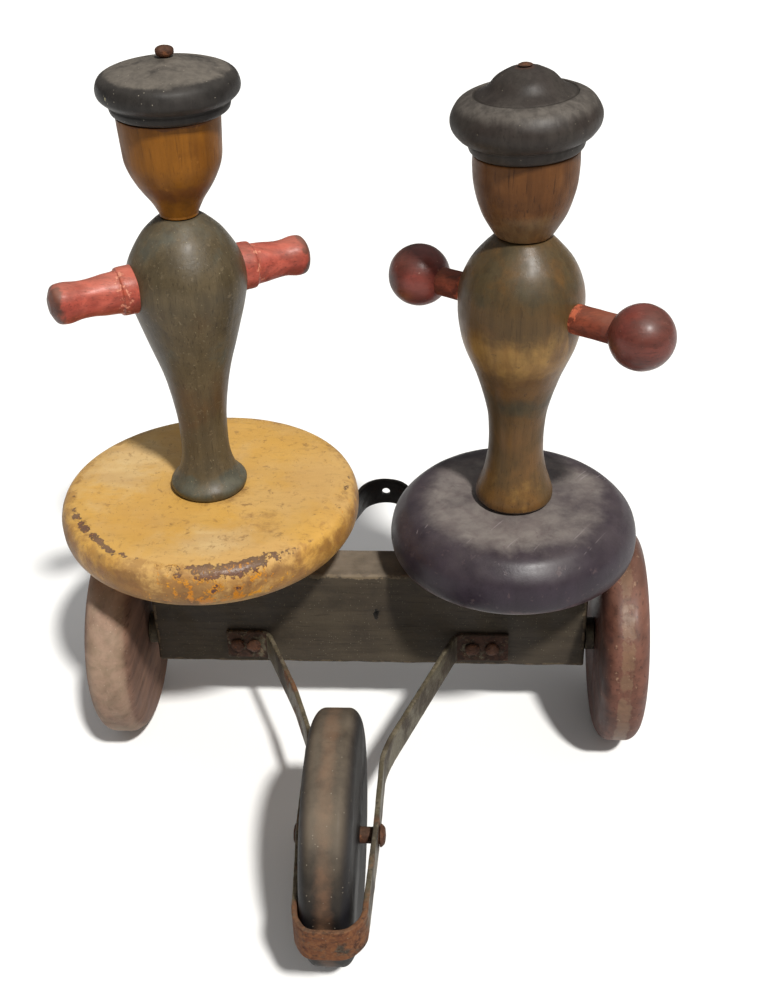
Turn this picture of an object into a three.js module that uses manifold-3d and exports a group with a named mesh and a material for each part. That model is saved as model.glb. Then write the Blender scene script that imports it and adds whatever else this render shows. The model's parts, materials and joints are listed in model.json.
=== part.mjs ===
// A wooden floor toy: two turned figures stand on discs that spin as the toy rolls.
// Units are millimetres, +Z is up, -Y is the front (the end with the single wheel).
import * as THREE from 'three';
import * as BufferGeometryUtils from 'three/addons/utils/BufferGeometryUtils.js';
import Module from 'manifold-3d';

const wasm = await Module();
wasm.setup();

// ---- driving dimensions ----
const GAP = 0.3; // clearance between pieces that touch or run on each other

const BEAM = { length: 184.5, thickness: 19, height: 47.3, top: 81.5, edge: 1.2 };
const REAR_WHEEL = { radius: 45.6, thickness: 19, tread: 6, shoulder: 9, beamGap: 4.2 };
const FRONT_WHEEL = { radius: 45.5, thickness: 18.2, tread: 8.6, shoulder: 8.5, x: -5.6, y: -117.5 };
const AXLE_SCREW = { radius: 2.8, headRadius: 5.6, headHeight: 3, depth: 28 };
const AXLE_WASHER = { radius: 7, thickness: 1.2 };
const FRONT_AXLE = {
  radius: 3,
  leftHead: { radius: 3.7, height: 1 },
  rightHead: { radius: 4.2, height: 2.2 },
};
const STRAP = { thickness: 2, width: 14.2, bracketWidth: 13.5 };
const TACK = { shankRadius: 1.3, headRadius: 3.2, headHeight: 1.8, depth: 9 };
const SPINDLE = { radius: 3, depth: 30, reach: 46 };
const SPACER = { radius: 7, height: 7.4 };
const THRUST_WASHER = { radius: 10, thickness: 1.6 };
const DISC_LIFT = 10.1;
const DISC_UNDERSIDE = BEAM.top + DISC_LIFT; // the discs' undersides run just above the rear wheels' treads
const LEFT = { x: -63.4, armYaw: 29, armHeight: 210.5, nearArmReach: 51.8, farArmReach: 48.8 };
const RIGHT = { x: 60.1, armYaw: -34.2, armHeight: 200.5, nearBallReach: 49.9, farBallReach: 46.3 };
// How each hat sits: offset to the right, and leaning by a few degrees with its right side up.
const LEFT_CAP_SEAT = { offset: 1, tilt: 0 };
const RIGHT_HAT_SEAT = { offset: 0, tilt: 3 };
const NECK_DOWEL = { radius: 3.5, reach: 12 };
const HAT_NAIL = { radius: 1.3, reach: 26 };
const ARM_TENON = { radius: 4.5, inner: 9, outer: 30 };
const STICK = { radius: 5.5, inner: 9 };
const BALL = { radius: 12, boreDepth: 9 };
const PAST = 5; // how far a cutting tool runs past the face it opens
const FAR_OUT = 40; // farther from a figure's axis than any body side, for cutting tools
// Sides of each round shape, in multiples of four where the shape reaches the toy's full size.
const FACETS = { wheel: 36, disc: 40, hat: 28, figure: 24, arm: 16, ball: 18, shaft: 14, tack: 10, hole: 16 };
const BRACKET = { loopCentre: [2.4, 80.2], loopRadius: 12, splay: 20, midHeight: 58, eyeRadius: 2, flat: 8 };

const beamBottom = BEAM.top - BEAM.height;
const beamFront = BEAM.thickness / 2;
const wheelX = BEAM.length / 2 + REAR_WHEEL.beamGap + REAR_WHEEL.thickness / 2;
const strapHeight = FRONT_WHEEL.radius; // mid height of the fork, level with its axle

// Turned outlines, as [radius, height] points that a smooth curve passes through.
const YELLOW_RIM = [[43.4, 0], [47.4, 3], [52, 6.6], [57, 10.4], [59.7, 14.5], [60.5, 19.5],
  [59.7, 23.8], [57.2, 26.9], [50, 28.2]];
const PURPLE_RIM = [[46.5, 0], [48.6, 1.5], [49.7, 4.5], [49.9, 9], [48.5, 14.5], [45.2, 19],
  [41, 22.2], [33, 23.7]];
const LEFT_BODY = [[15, 121.6], [15.1, 124], [11.7, 128.5], [9.7, 136], [9.4, 146], [10, 156],
  [12.6, 171.5], [17.3, 188], [21.4, 203], [22.4, 211], [20.6, 219], [15.3, 228], [9.8, 233.4]];
const RIGHT_BODY = [[15.3, 117.4], [15.2, 120.5], [12.6, 128.5], [10.9, 138], [10.8, 148], [12, 158],
  [16, 172], [21.4, 186], [23.5, 199], [22.8, 208.5], [19.2, 217], [13.9, 223.5]];
const LEFT_HEAD = [[7.1, 236.4], [9.4, 241], [14, 248], [17, 255], [17.7, 262], [18.2, 271.6]];
const RIGHT_HEAD = [[11.5, 229.6], [15.6, 237], [18.2, 246], [18.9, 254]];
const LEFT_CAP_BAND = [[20.3, 273.3], [21, 275], [20.8, 276.4]];
const LEFT_CAP_CROWN = [[22.4, 277.2], [24.5, 279.4], [24.7, 282.4], [22.9, 285.3], [17.8, 287.3],
  [10, 289], [4, 290.5]];
const RIGHT_HAT_BAND = [[19.9, 259.8], [20.6, 262], [21.6, 263.4]];
const RIGHT_HAT_BRIM = [[23.6, 264.5], [25.9, 267.8], [26, 271.8], [23.4, 275.8], [18.4, 278.3]];
const RIGHT_HAT_DOME = [[17.4, 278], [12.7, 280.3], [9.3, 283.7], [4.9, 286.3]];
const LEFT_ARM = [[9, 24], [8.9, 27.2], [6.9, 30.5], [5.8, 38], [6.2, 44], [7.7, 49.5], [6.6, 54.6],
  [3, 56.8]];
const ARM_ROOT = 22; // the arm's outline is shortened or lengthened from here outwards
const ARM_END = 57.2;
const ARM_CORE = 12; // the arm's blank starts here, inside the body, and the body's shape is cut from it
const LEFT_CAP_BOTTOM = 272.3;
const LEFT_CAP_TOP = 291;
const RIGHT_HAT_BOTTOM = 258.8;
const RIGHT_HAT_TOP = 287.2;
// Points sampled along each smooth outline.
const SAMPLES = { body: 14, head: 6, band: 2, crown: 8, brim: 6, dome: 4, arm: 8, armSeat: 20 };

// ---- materials ----
const finish = {
  ochre: [0xc49846, 0.6, 0], purple: [0x584e55, 0.45, 0], olive: [0x55503c, 0.5, 0], tan: [0x6e6241, 0.5, 0],
  amber: [0xa57332, 0.4, 0], brownWood: [0x735032, 0.45, 0], charcoal: [0x414141, 0.5, 0],
  greyBrown: [0x4b443e, 0.5, 0], red: [0xa54132, 0.5, 0], orangeRed: [0xaa553c, 0.6, 0],
  maroon: [0x733c37, 0.45, 0], mauve: [0x785f55, 0.7, 0], redBrown: [0x734b3c, 0.6, 0],
  black: [0x32302e, 0.5, 0], beam: [0x3e3930, 0.8, 0], rawWood: [0xb99469, 0.8, 0],
  agedSteel: [0x5f584b, 0.6, 0.7], darkSteel: [0x1c1a19, 0.5, 0.7], rust: [0x6b4633, 0.8, 0.5],
};

function material(name) {
  const [color, roughness, metalness] = finish[name];
  return new THREE.MeshStandardMaterial({ color, roughness, metalness });
}

function piece(name, geometry, look) {
  const mesh = new THREE.Mesh(geometry, material(look));
  mesh.name = name;
  return mesh;
}

// ---- solids ----
function toSolid(geometry) {
  const plain = geometry.clone();
  plain.deleteAttribute('normal');
  plain.deleteAttribute('uv');
  const merged = BufferGeometryUtils.mergeVertices(plain, 1e-4);
  const index = merged.index.array;
  const kept = [];
  for (let i = 0; i < index.length; i += 3) {
    const [a, b, c] = [index[i], index[i + 1], index[i + 2]];
    if (a !== b && b !== c && c !== a) kept.push(a, b, c);
  }
  return new wasm.Manifold(new wasm.Mesh({
    numProp: 3,
    vertProperties: merged.attributes.position.array,
    triVerts: new Uint32Array(kept),
  }));
}

function toGeometry(solid) {
  const mesh = solid.getMesh();
  const geometry = new THREE.BufferGeometry();
  geometry.setAttribute('position', new THREE.BufferAttribute(mesh.vertProperties, 3));
  geometry.setIndex(new THREE.BufferAttribute(mesh.triVerts, 1));
  return geometry;
}

function cut(solid, tools) {
  return tools.reduce((rest, tool) => rest.subtract(toSolid(tool)), solid);
}

// ---- turned pieces: outlines run up the outside, from the bottom to the top ----
function smooth(points, count) {
  const curve = new THREE.SplineCurve(points.map(([r, h]) => new THREE.Vector2(r, h)));
  return curve.getPoints(count).map((p) => [p.x, p.y]);
}

function turned(outline, segments) {
  const points = outline.map(([r, h]) => new THREE.Vector2(Math.max(r, 0), h));
  const geometry = new THREE.LatheGeometry(points, segments);
  return geometry.rotateX(Math.PI / 2);
}

// A solid of revolution on Z, closed on the axis, or round a bore where boreRadius is given.
function turnedSolid(outside, bottom, top, segments, boreRadius = 0) {
  const outline = [[boreRadius, bottom], ...outside, [boreRadius, top]];
  if (boreRadius > 0) outline.push([boreRadius, bottom]);
  return turned(outline, segments);
}

function rod(radius, bottom, top, segments = FACETS.shaft) {
  return turned([[0, bottom], [radius, bottom], [radius, top], [0, top]], segments);
}

function washer(radius, boreRadius, bottom, top, segments = FACETS.shaft) {
  return turnedSolid([[radius, bottom], [radius, top]], bottom, top, segments, boreRadius);
}

// A headed pin along +Z: the shank runs below zero and the domed head stands above it.
function headedPin(shankRadius, depth, headRadius, headHeight, segments) {
  const dome = [[headRadius, 0], [headRadius * 0.97, headHeight * 0.35],
    [headRadius * 0.65, headHeight * 0.85]];
  return turned([[0, -depth], [shankRadius, -depth], [shankRadius, 0], ...dome, [0, headHeight]], segments);
}

// ---- wheels: turned on Z, then laid over so that the axle lies along X ----
function wheel({ radius, thickness, tread, shoulder }, boreRadius, segments) {
  const face = thickness / 2;
  const drop = face - tread / 2;
  const rounding = [38, 90].map((deg) => {
    const angle = THREE.MathUtils.degToRad(deg);
    return [radius - shoulder * (1 - Math.cos(angle)), tread / 2 + drop * Math.sin(angle)];
  });
  const upper = [[radius, tread / 2], ...rounding];
  const lower = upper.map(([r, h]) => [r, -h]).reverse();
  const geometry = turnedSolid([...lower, ...upper], -face, face, segments, boreRadius);
  geometry.rotateY(Math.PI / 2);
  return geometry.rotateX(Math.PI / segments); // a flat of the tread faces down
}

// Wheel centres stand at the height that rests the lowest flat on the floor.
const standHeight = (radius) => radius * Math.cos(Math.PI / FACETS.wheel);

function rearWheel(name, side, look) {
  const mesh = piece(name, wheel(REAR_WHEEL, AXLE_SCREW.radius + GAP, FACETS.wheel), look);
  mesh.position.set(side * wheelX, 0, standHeight(REAR_WHEEL.radius));
  return mesh;
}

function frontWheel() {
  const mesh = piece('front_wheel', wheel(FRONT_WHEEL, FRONT_AXLE.radius + GAP, FACETS.wheel), 'black');
  mesh.position.set(FRONT_WHEEL.x, FRONT_WHEEL.y, standHeight(FRONT_WHEEL.radius));
  return mesh;
}

// ---- rear axles: one screw at each end of the beam, with washers at both faces of the wheel ----
function rearAxle(side, prefix) {
  const group = new THREE.Group();
  const innerFace = BEAM.length / 2;
  const hubThickness = REAR_WHEEL.beamGap - 2 * GAP;
  const outerFace = wheelX + REAR_WHEEL.thickness / 2;
  const headFace = outerFace + AXLE_WASHER.thickness + 2 * GAP;
  const boreRadius = AXLE_SCREW.radius + GAP;
  const depth = headFace - innerFace + AXLE_SCREW.depth;
  const { radius, headRadius, headHeight } = AXLE_SCREW;
  const screw = headedPin(radius, depth, headRadius, headHeight, FACETS.shaft);
  const parts = [
    piece(`${prefix}_axle_screw`, screw.translate(0, 0, headFace), 'rust'),
    piece(`${prefix}_inner_washer`,
      washer(AXLE_WASHER.radius, boreRadius, innerFace + GAP, innerFace + GAP + hubThickness), 'agedSteel'),
    piece(`${prefix}_outer_washer`,
      washer(AXLE_WASHER.radius, boreRadius, outerFace + GAP, headFace - GAP), 'agedSteel'),
  ];
  group.add(...parts);
  group.rotation.y = side * Math.PI / 2;
  group.position.z = standHeight(REAR_WHEEL.radius);
  return group;
}

// ---- straps: flat bar bent on edge, drawn from above and given its height ----
function strap(path, width, midHeight) {
  const half = STRAP.thickness / 2;
  const offset = (side) => path.map((point, i) => {
    const before = path[Math.max(i - 1, 0)];
    const after = path[Math.min(i + 1, path.length - 1)];
    const into = new THREE.Vector2().subVectors(point, before).normalize();
    const out = new THREE.Vector2().subVectors(after, point).normalize();
    const along = into.clone().add(out).normalize();
    const stretch = half / Math.max(0.5, along.dot(i === 0 ? out : into));
    return new THREE.Vector2(point.x - along.y * stretch * side, point.y + along.x * stretch * side);
  });
  const shape = new THREE.Shape([...offset(1), ...offset(-1).reverse()]);
  const geometry = new THREE.ExtrudeGeometry(shape, { depth: width, bevelEnabled: false, curveSegments: 1 });
  return geometry.translate(0, 0, midHeight - width / 2);
}

// Replaces the corner at each middle point by a bend of a few chords.
function bent(corners, radius, steps) {
  const path = [corners[0]];
  for (let i = 1; i < corners.length - 1; i += 1) {
    const corner = corners[i];
    const back = new THREE.Vector2().subVectors(corners[i - 1], corner);
    const ahead = new THREE.Vector2().subVectors(corners[i + 1], corner);
    const reach = Math.min(radius, back.length() * 0.45, ahead.length() * 0.45);
    const start = corner.clone().add(back.setLength(reach));
    const end = corner.clone().add(ahead.setLength(reach));
    path.push(...new THREE.QuadraticBezierCurve(start, corner, end).getPoints(steps));
  }
  path.push(corners[corners.length - 1]);
  return path;
}

// Holes through a strap's face: across Y for its tabs and nose, or across X for its sides.
function crossHole(radius, x, y, z, along) {
  const reach = 3 * STRAP.thickness;
  const hole = rod(radius, -reach, reach, FACETS.hole);
  if (along === 'x') hole.rotateY(Math.PI / 2);
  else hole.rotateX(Math.PI / 2);
  return hole.translate(x, y, z);
}

const tabY = beamFront + GAP + STRAP.thickness / 2;
const FORK = {
  corners: [[-61, -tabY], [-43, -tabY], [-27.4, -47], [-19, -72], [-18.4, -118], [-15.6, -160],
    [-11.5, -166], [2.4, -166], [7.8, -160], [9.4, -118], [9.8, -84], [12.2, -75], [37, -tabY],
    [59.5, -tabY]],
  leftSideX: -18.4,
  rightSideX: 9.4,
  tacks: [-56.5, -49.5, 44.2, 52.6],
};
const BRACKET_TABS = { leftEnd: -52, rightEnd: 56, tacks: [-48, -41.5, 45.5, 52] };

function frontFork() {
  const corners = FORK.corners.map(([x, y]) => new THREE.Vector2(x, y));
  const bar = toSolid(strap(bent(corners, 4, 2), STRAP.width, strapHeight));
  const axleHole = FRONT_AXLE.radius + GAP;
  const axleHeight = standHeight(FRONT_WHEEL.radius);
  const holes = [
    crossHole(axleHole, FORK.leftSideX, FRONT_WHEEL.y, axleHeight, 'x'),
    crossHole(axleHole, FORK.rightSideX, FRONT_WHEEL.y, axleHeight, 'x'),
    ...FORK.tacks.map((x) => crossHole(TACK.shankRadius + GAP, x, -tabY, strapHeight, 'y')),
  ];
  return piece('front_fork', toGeometry(cut(bar, holes)), 'agedSteel');
}

function frontAxle() {
  const left = FORK.leftSideX - FRONT_WHEEL.x - STRAP.thickness / 2 - GAP;
  const right = FORK.rightSideX - FRONT_WHEEL.x + STRAP.thickness / 2 + GAP;
  const { radius, leftHead, rightHead } = FRONT_AXLE;
  const rivetHead = (head, face, side) => {
    const tall = side * head.height;
    return [[head.radius, face], [head.radius, face + tall * 0.3], [head.radius * 0.7, face + tall * 0.85],
      [0, face + tall]];
  };
  const outline = [...rivetHead(leftHead, left, -1).reverse(), [radius, left], [radius, right],
    ...rivetHead(rightHead, right, 1)];
  const mesh = piece('front_axle', turned(outline, FACETS.shaft).rotateY(Math.PI / 2), 'rust');
  mesh.position.set(FRONT_WHEEL.x, FRONT_WHEEL.y, standHeight(FRONT_WHEEL.radius));
  return mesh;
}

function bracketPath() {
  const { loopCentre: [cx, cy], loopRadius, splay, flat } = BRACKET;
  const lean = THREE.MathUtils.degToRad(splay);
  const arc = [];
  const steps = 6;
  for (let i = 0; i <= steps; i += 1) {
    const angle = THREE.MathUtils.lerp(Math.PI - lean, Math.PI / 2, i / steps);
    arc.push(new THREE.Vector2(loopRadius * Math.cos(angle), loopRadius * Math.sin(angle)));
  }
  const half = arc.map((p) => new THREE.Vector2(Math.min(p.x, -flat / 2 + 0.01 * p.x), p.y));
  const foot = new THREE.Vector2(arc[0].x - (cy + arc[0].y - tabY) * Math.tan(lean), tabY - cy);
  const left = [foot, ...half];
  const right = left.map((p) => new THREE.Vector2(-p.x, p.y)).reverse();
  const loop = [...left, ...right].map((p) => new THREE.Vector2(p.x + cx, p.y + cy));
  const start = new THREE.Vector2(BRACKET_TABS.leftEnd, tabY);
  const end = new THREE.Vector2(BRACKET_TABS.rightEnd, tabY);
  return [start, ...loop, end];
}

function rearBracket() {
  const bar = toSolid(strap(bracketPath(), STRAP.bracketWidth, BRACKET.midHeight));
  const [eyeX, loopY] = BRACKET.loopCentre;
  const holes = [
    crossHole(BRACKET.eyeRadius, eyeX, loopY + BRACKET.loopRadius, BRACKET.midHeight, 'y'),
    ...BRACKET_TABS.tacks.map((x) => crossHole(TACK.shankRadius + GAP, x, tabY, BRACKET.midHeight, 'y')),
  ];
  return piece('rear_bracket', toGeometry(cut(bar, holes)), 'darkSteel');
}

// Tacks hold the straps' tabs to the front and back of the beam.
function tacks(prefix, positions, side, height, look) {
  return positions.map((x, i) => {
    const { shankRadius, headRadius, headHeight, depth } = TACK;
    const geometry = headedPin(shankRadius, depth, headRadius, headHeight, FACETS.tack);
    geometry.rotateX(side < 0 ? Math.PI / 2 : -Math.PI / 2);
    const mesh = piece(`${prefix}_${i + 1}`, geometry, look);
    mesh.position.set(x, side * (beamFront + 2 * GAP + STRAP.thickness), height);
    return mesh;
  });
}

// ---- the beam, bored for the spindles, axle screws and tacks ----
function beam() {
  const { length, thickness, height, edge } = BEAM;
  const shape = new THREE.Shape();
  const w = length / 2 - edge;
  const h = height / 2 - edge;
  shape.moveTo(-w, -h);
  shape.lineTo(w, -h);
  shape.lineTo(w, h);
  shape.lineTo(-w, h);
  const geometry = new THREE.ExtrudeGeometry(shape, {
    depth: thickness - 2 * edge, bevelThickness: edge, bevelSize: edge, bevelSegments: 2, curveSegments: 1,
  });
  geometry.translate(0, 0, edge - thickness / 2);
  geometry.rotateX(Math.PI / 2);
  geometry.translate(0, 0, beamBottom + height / 2);
  const tackDepth = TACK.depth + 1;
  const spindleBores = [LEFT.x, RIGHT.x].map((x) =>
    rod(SPINDLE.radius + GAP, BEAM.top - SPINDLE.depth - GAP, BEAM.top + PAST, FACETS.hole)
      .translate(x, 0, 0));
  const axleBores = [-1, 1].map((side) => {
    const innerEnd = length / 2 - AXLE_SCREW.depth - GAP;
    const bore = rod(AXLE_SCREW.radius + GAP, innerEnd, length / 2 + PAST, FACETS.hole);
    return bore.rotateY(side * Math.PI / 2).translate(0, 0, standHeight(REAR_WHEEL.radius));
  });
  const tackBores = [[FORK.tacks, -1, strapHeight], [BRACKET_TABS.tacks, 1, BRACKET.midHeight]].flatMap(
    ([positions, side, z]) => positions.map((x) => {
      const bore = rod(TACK.shankRadius + GAP, beamFront - tackDepth, beamFront + PAST, FACETS.tack);
      return bore.rotateX(-side * Math.PI / 2).translate(x, 0, z);
    }));
  const solid = cut(toSolid(geometry), [...spindleBores, ...axleBores, ...tackBores]);
  return piece('beam', toGeometry(solid), 'beam');
}

// ---- spindles: each stands in the beam and runs up through spacer, washer and disc into the figure ----
function spindle(prefix, x) {
  const group = new THREE.Group();
  const bore = SPINDLE.radius + GAP;
  const spacerBottom = BEAM.top + GAP;
  const spacerTop = spacerBottom + SPACER.height;
  const washerBottom = spacerTop + GAP;
  group.add(
    piece(`${prefix}_spindle`,
      rod(SPINDLE.radius, BEAM.top - SPINDLE.depth, BEAM.top + SPINDLE.reach), 'agedSteel'),
    piece(`${prefix}_spacer`, washer(SPACER.radius, bore, spacerBottom, spacerTop), 'rawWood'),
    piece(`${prefix}_thrust_washer`,
      washer(THRUST_WASHER.radius, bore, washerBottom, washerBottom + THRUST_WASHER.thickness), 'agedSteel'),
  );
  group.position.x = x;
  return group;
}

function disc(name, rim, crown, look) {
  const outside = smooth(rim, rim.length);
  const raised = outside.map(([r, h]) => [r, h + DISC_UNDERSIDE]);
  const bore = SPINDLE.radius + GAP;
  return piece(name, turnedSolid(raised, DISC_UNDERSIDE, DISC_UNDERSIDE + crown, FACETS.disc, bore), look);
}

// ---- figures ----
function spindleBore() {
  return rod(SPINDLE.radius + GAP, BEAM.top, BEAM.top + SPINDLE.reach + GAP, FACETS.hole);
}

function acrossTo(geometry, yaw, height) {
  return geometry.rotateY(Math.PI / 2).rotateZ(THREE.MathUtils.degToRad(yaw)).translate(0, 0, height);
}

// A body open below for the spindle, above for the neck dowel, and at both sides for the arms.
function figureBody(name, outline, ends, figure, socketRadius, socketInner, look) {
  const { bottom, footRadius, top, neckRadius } = ends;
  const side = [[footRadius, bottom], ...smooth(outline, SAMPLES.body), [neckRadius, top]];
  const solid = toSolid(turned([[0, bottom], ...side, [0, top]], FACETS.figure));
  const sockets = [0, 180].map((turn) => {
    const socket = rod(socketRadius + GAP, socketInner - GAP, FAR_OUT, FACETS.hole);
    return acrossTo(socket, figure.armYaw + turn, figure.armHeight);
  });
  const neckBore = rod(NECK_DOWEL.radius + GAP, top - NECK_DOWEL.reach - GAP, top + PAST, FACETS.hole);
  return piece(name, toGeometry(cut(solid, [spindleBore(), neckBore, ...sockets])), look);
}

function neckDowel(name, neckTop) {
  const { radius, reach } = NECK_DOWEL;
  return piece(name, rod(radius, neckTop - reach, neckTop + reach), 'rawWood');
}

// Moves and leans a piece as its figure's hat sits, about the middle of the hat's lower face.
function seated(geometry, { offset, tilt }, hatBottom) {
  const lean = THREE.MathUtils.degToRad(-tilt);
  return geometry.translate(0, 0, -hatBottom).rotateY(lean).translate(offset, 0, hatBottom);
}

// A head, its flat top cut at the hat's lean.
function figureHead(name, outline, bottom, hatBottom, hatFace, seat, look) {
  const above = hatBottom + PAST;
  const sideRadius = outline[outline.length - 1][0];
  const side = [[outline[0][0], bottom], ...smooth(outline, SAMPLES.head), [sideRadius, above]];
  const solid = toSolid(turned([[0, bottom], ...side, [0, above]], FACETS.figure));
  const dowelBore = rod(NECK_DOWEL.radius + GAP, bottom - PAST, bottom + NECK_DOWEL.reach + GAP, FACETS.hole);
  const nailBore = rod(HAT_NAIL.radius + GAP, hatFace - HAT_NAIL.reach - GAP, above + PAST, FACETS.tack);
  const hatRoom = rod(FAR_OUT, hatBottom - GAP, above + FAR_OUT, FACETS.tack);
  const tools = [dowelBore, seated(nailBore, seat, hatBottom), seated(hatRoom, seat, hatBottom)];
  return piece(name, toGeometry(cut(solid, tools)), look);
}

function hat(name, outside, bottom, top, seat, look) {
  const geometry = turnedSolid(outside, bottom, top, FACETS.hat, HAT_NAIL.radius + GAP);
  return piece(name, seated(geometry, seat, bottom), look);
}

function hatNail(name, face, head, hatBottom, seat, look) {
  const geometry = headedPin(HAT_NAIL.radius, HAT_NAIL.reach, head.radius, head.height, FACETS.tack);
  return piece(name, seated(geometry.translate(0, 0, face), seat, hatBottom), look);
}

// The turned arm of the left figure: its collar is hollowed to fit the body, and a tenon goes in.
function turnedArm(name, bodyOutline, figure, turn, reach) {
  const stretch = (reach - ARM_ROOT) / (ARM_END - ARM_ROOT);
  const outline = LEFT_ARM.map(([r, h]) => [r, ARM_ROOT + (h - ARM_ROOT) * stretch]);
  const collarRadius = outline[0][0];
  const arm = turned([[0, ARM_CORE], [collarRadius, ARM_CORE], ...smooth(outline, SAMPLES.arm),
    [0, reach]], FACETS.arm);
  const seat = bodyOutline.map(([r, h]) => [r + GAP, h]);
  const last = seat[seat.length - 1][1];
  const seatLine = [[0, seat[0][1]], ...smooth(seat, SAMPLES.armSeat), [0, last]];
  const bodyRoom = toSolid(turned(seatLine, FACETS.disc));
  const tenonRod = rod(ARM_TENON.radius, ARM_TENON.inner, ARM_TENON.outer);
  const tenon = toSolid(acrossTo(tenonRod, figure.armYaw + turn, figure.armHeight));
  const shaped = toSolid(acrossTo(arm, figure.armYaw + turn, figure.armHeight)).subtract(bodyRoom).add(tenon);
  return piece(name, toGeometry(shaped), 'red');
}

function leftFigure() {
  const group = new THREE.Group();
  const crown = 28.4;
  const foot = DISC_UNDERSIDE + crown + GAP;
  const neck = 235;
  const ends = { bottom: foot, footRadius: 14.2, top: neck, neckRadius: 7.6 };
  const capOutside = [[18.6, LEFT_CAP_BOTTOM], ...smooth(LEFT_CAP_BAND, SAMPLES.band),
    ...smooth(LEFT_CAP_CROWN, SAMPLES.crown)];
  const nailHead = { radius: 3.2, height: 3.6 };
  group.add(
    disc('yellow_disc', YELLOW_RIM, crown, 'ochre'),
    figureBody('left_body', LEFT_BODY, ends, LEFT, ARM_TENON.radius, ARM_TENON.inner, 'olive'),
    neckDowel('left_neck_dowel', neck + GAP / 2),
    figureHead('left_head', LEFT_HEAD, neck + GAP, LEFT_CAP_BOTTOM, LEFT_CAP_TOP, LEFT_CAP_SEAT, 'amber'),
    hat('left_cap', capOutside, LEFT_CAP_BOTTOM, LEFT_CAP_TOP - GAP, LEFT_CAP_SEAT, 'charcoal'),
    hatNail('left_cap_nail', LEFT_CAP_TOP, nailHead, LEFT_CAP_BOTTOM, LEFT_CAP_SEAT, 'rust'),
    turnedArm('left_figure_near_arm', LEFT_BODY, LEFT, 180, LEFT.nearArmReach),
    turnedArm('left_figure_far_arm', LEFT_BODY, LEFT, 0, LEFT.farArmReach),
  );
  group.position.x = LEFT.x;
  return group;
}

// The right figure's arm is a plain stick that carries a bored ball.
function stickAndBall(side, turn, centre) {
  const { radius, boreDepth } = BALL;
  const boreFloor = centre - radius + boreDepth;
  const stick = rod(STICK.radius, STICK.inner, boreFloor - GAP);
  const arcPoints = [];
  const stepDegrees = 25;
  for (let deg = -3 * stepDegrees; deg <= 3 * stepDegrees; deg += stepDegrees) {
    const angle = THREE.MathUtils.degToRad(deg);
    arcPoints.push([radius * Math.cos(angle), centre + radius * Math.sin(angle)]);
  }
  const ball = toSolid(turned([[0, centre - radius], ...arcPoints, [0, centre + radius]], FACETS.ball));
  const bored = toGeometry(cut(ball, [rod(STICK.radius + GAP, centre - 2 * radius, boreFloor, FACETS.hole)]));
  return [
    piece(`right_figure_${side}_stick`, acrossTo(stick, RIGHT.armYaw + turn, RIGHT.armHeight), 'orangeRed'),
    piece(`right_figure_${side}_ball`, acrossTo(bored, RIGHT.armYaw + turn, RIGHT.armHeight), 'maroon'),
  ];
}

function rightFigure() {
  const group = new THREE.Group();
  const crown = 23.8;
  const foot = DISC_UNDERSIDE + crown + GAP;
  const neck = 227.4;
  const ends = { bottom: foot, footRadius: 13.8, top: neck, neckRadius: 10 };
  const hatOutside = [[19, RIGHT_HAT_BOTTOM], ...smooth(RIGHT_HAT_BAND, SAMPLES.band),
    ...smooth(RIGHT_HAT_BRIM, SAMPLES.brim), ...smooth(RIGHT_HAT_DOME, SAMPLES.dome)];
  const nailHead = { radius: 2.6, height: 0.7 };
  group.add(
    disc('purple_disc', PURPLE_RIM, crown, 'purple'),
    figureBody('right_body', RIGHT_BODY, ends, RIGHT, STICK.radius, STICK.inner, 'tan'),
    neckDowel('right_neck_dowel', neck + GAP / 2),
    figureHead('right_head', RIGHT_HEAD, neck + GAP, RIGHT_HAT_BOTTOM, RIGHT_HAT_TOP, RIGHT_HAT_SEAT,
      'brownWood'),
    hat('right_hat', hatOutside, RIGHT_HAT_BOTTOM, RIGHT_HAT_TOP - GAP, RIGHT_HAT_SEAT, 'greyBrown'),
    hatNail('right_hat_nail', RIGHT_HAT_TOP, nailHead, RIGHT_HAT_BOTTOM, RIGHT_HAT_SEAT, 'rust'),
    ...stickAndBall('near', 0, RIGHT.nearBallReach),
    ...stickAndBall('far', 180, RIGHT.farBallReach),
  );
  group.position.x = RIGHT.x;
  return group;
}

// ---- the whole toy, stood on the floor and centred over its own footprint ----
const toy = new THREE.Group();
toy.add(
  beam(),
  frontFork(),
  rearBracket(),
  ...tacks('fork_tack', FORK.tacks, -1, strapHeight, 'rust'),
  ...tacks('bracket_tack', BRACKET_TABS.tacks, 1, BRACKET.midHeight, 'darkSteel'),
  frontAxle(),
  frontWheel(),
  rearAxle(-1, 'left'),
  rearAxle(1, 'right'),
  rearWheel('left_wheel', -1, 'mauve'),
  rearWheel('right_wheel', 1, 'redBrown'),
  spindle('left', LEFT.x),
  spindle('right', RIGHT.x),
  leftFigure(),
  rightFigure(),
);
toy.updateMatrixWorld(true);
const extent = new THREE.Box3().setFromObject(toy, true);
const middle = extent.getCenter(new THREE.Vector3());
toy.position.set(-middle.x, -middle.y, -extent.min.z);
toy.updateMatrixWorld(true);

export default toy;
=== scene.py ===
import json
import math
import bpy
import bmesh
from mathutils import Matrix, Vector, noise


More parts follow.
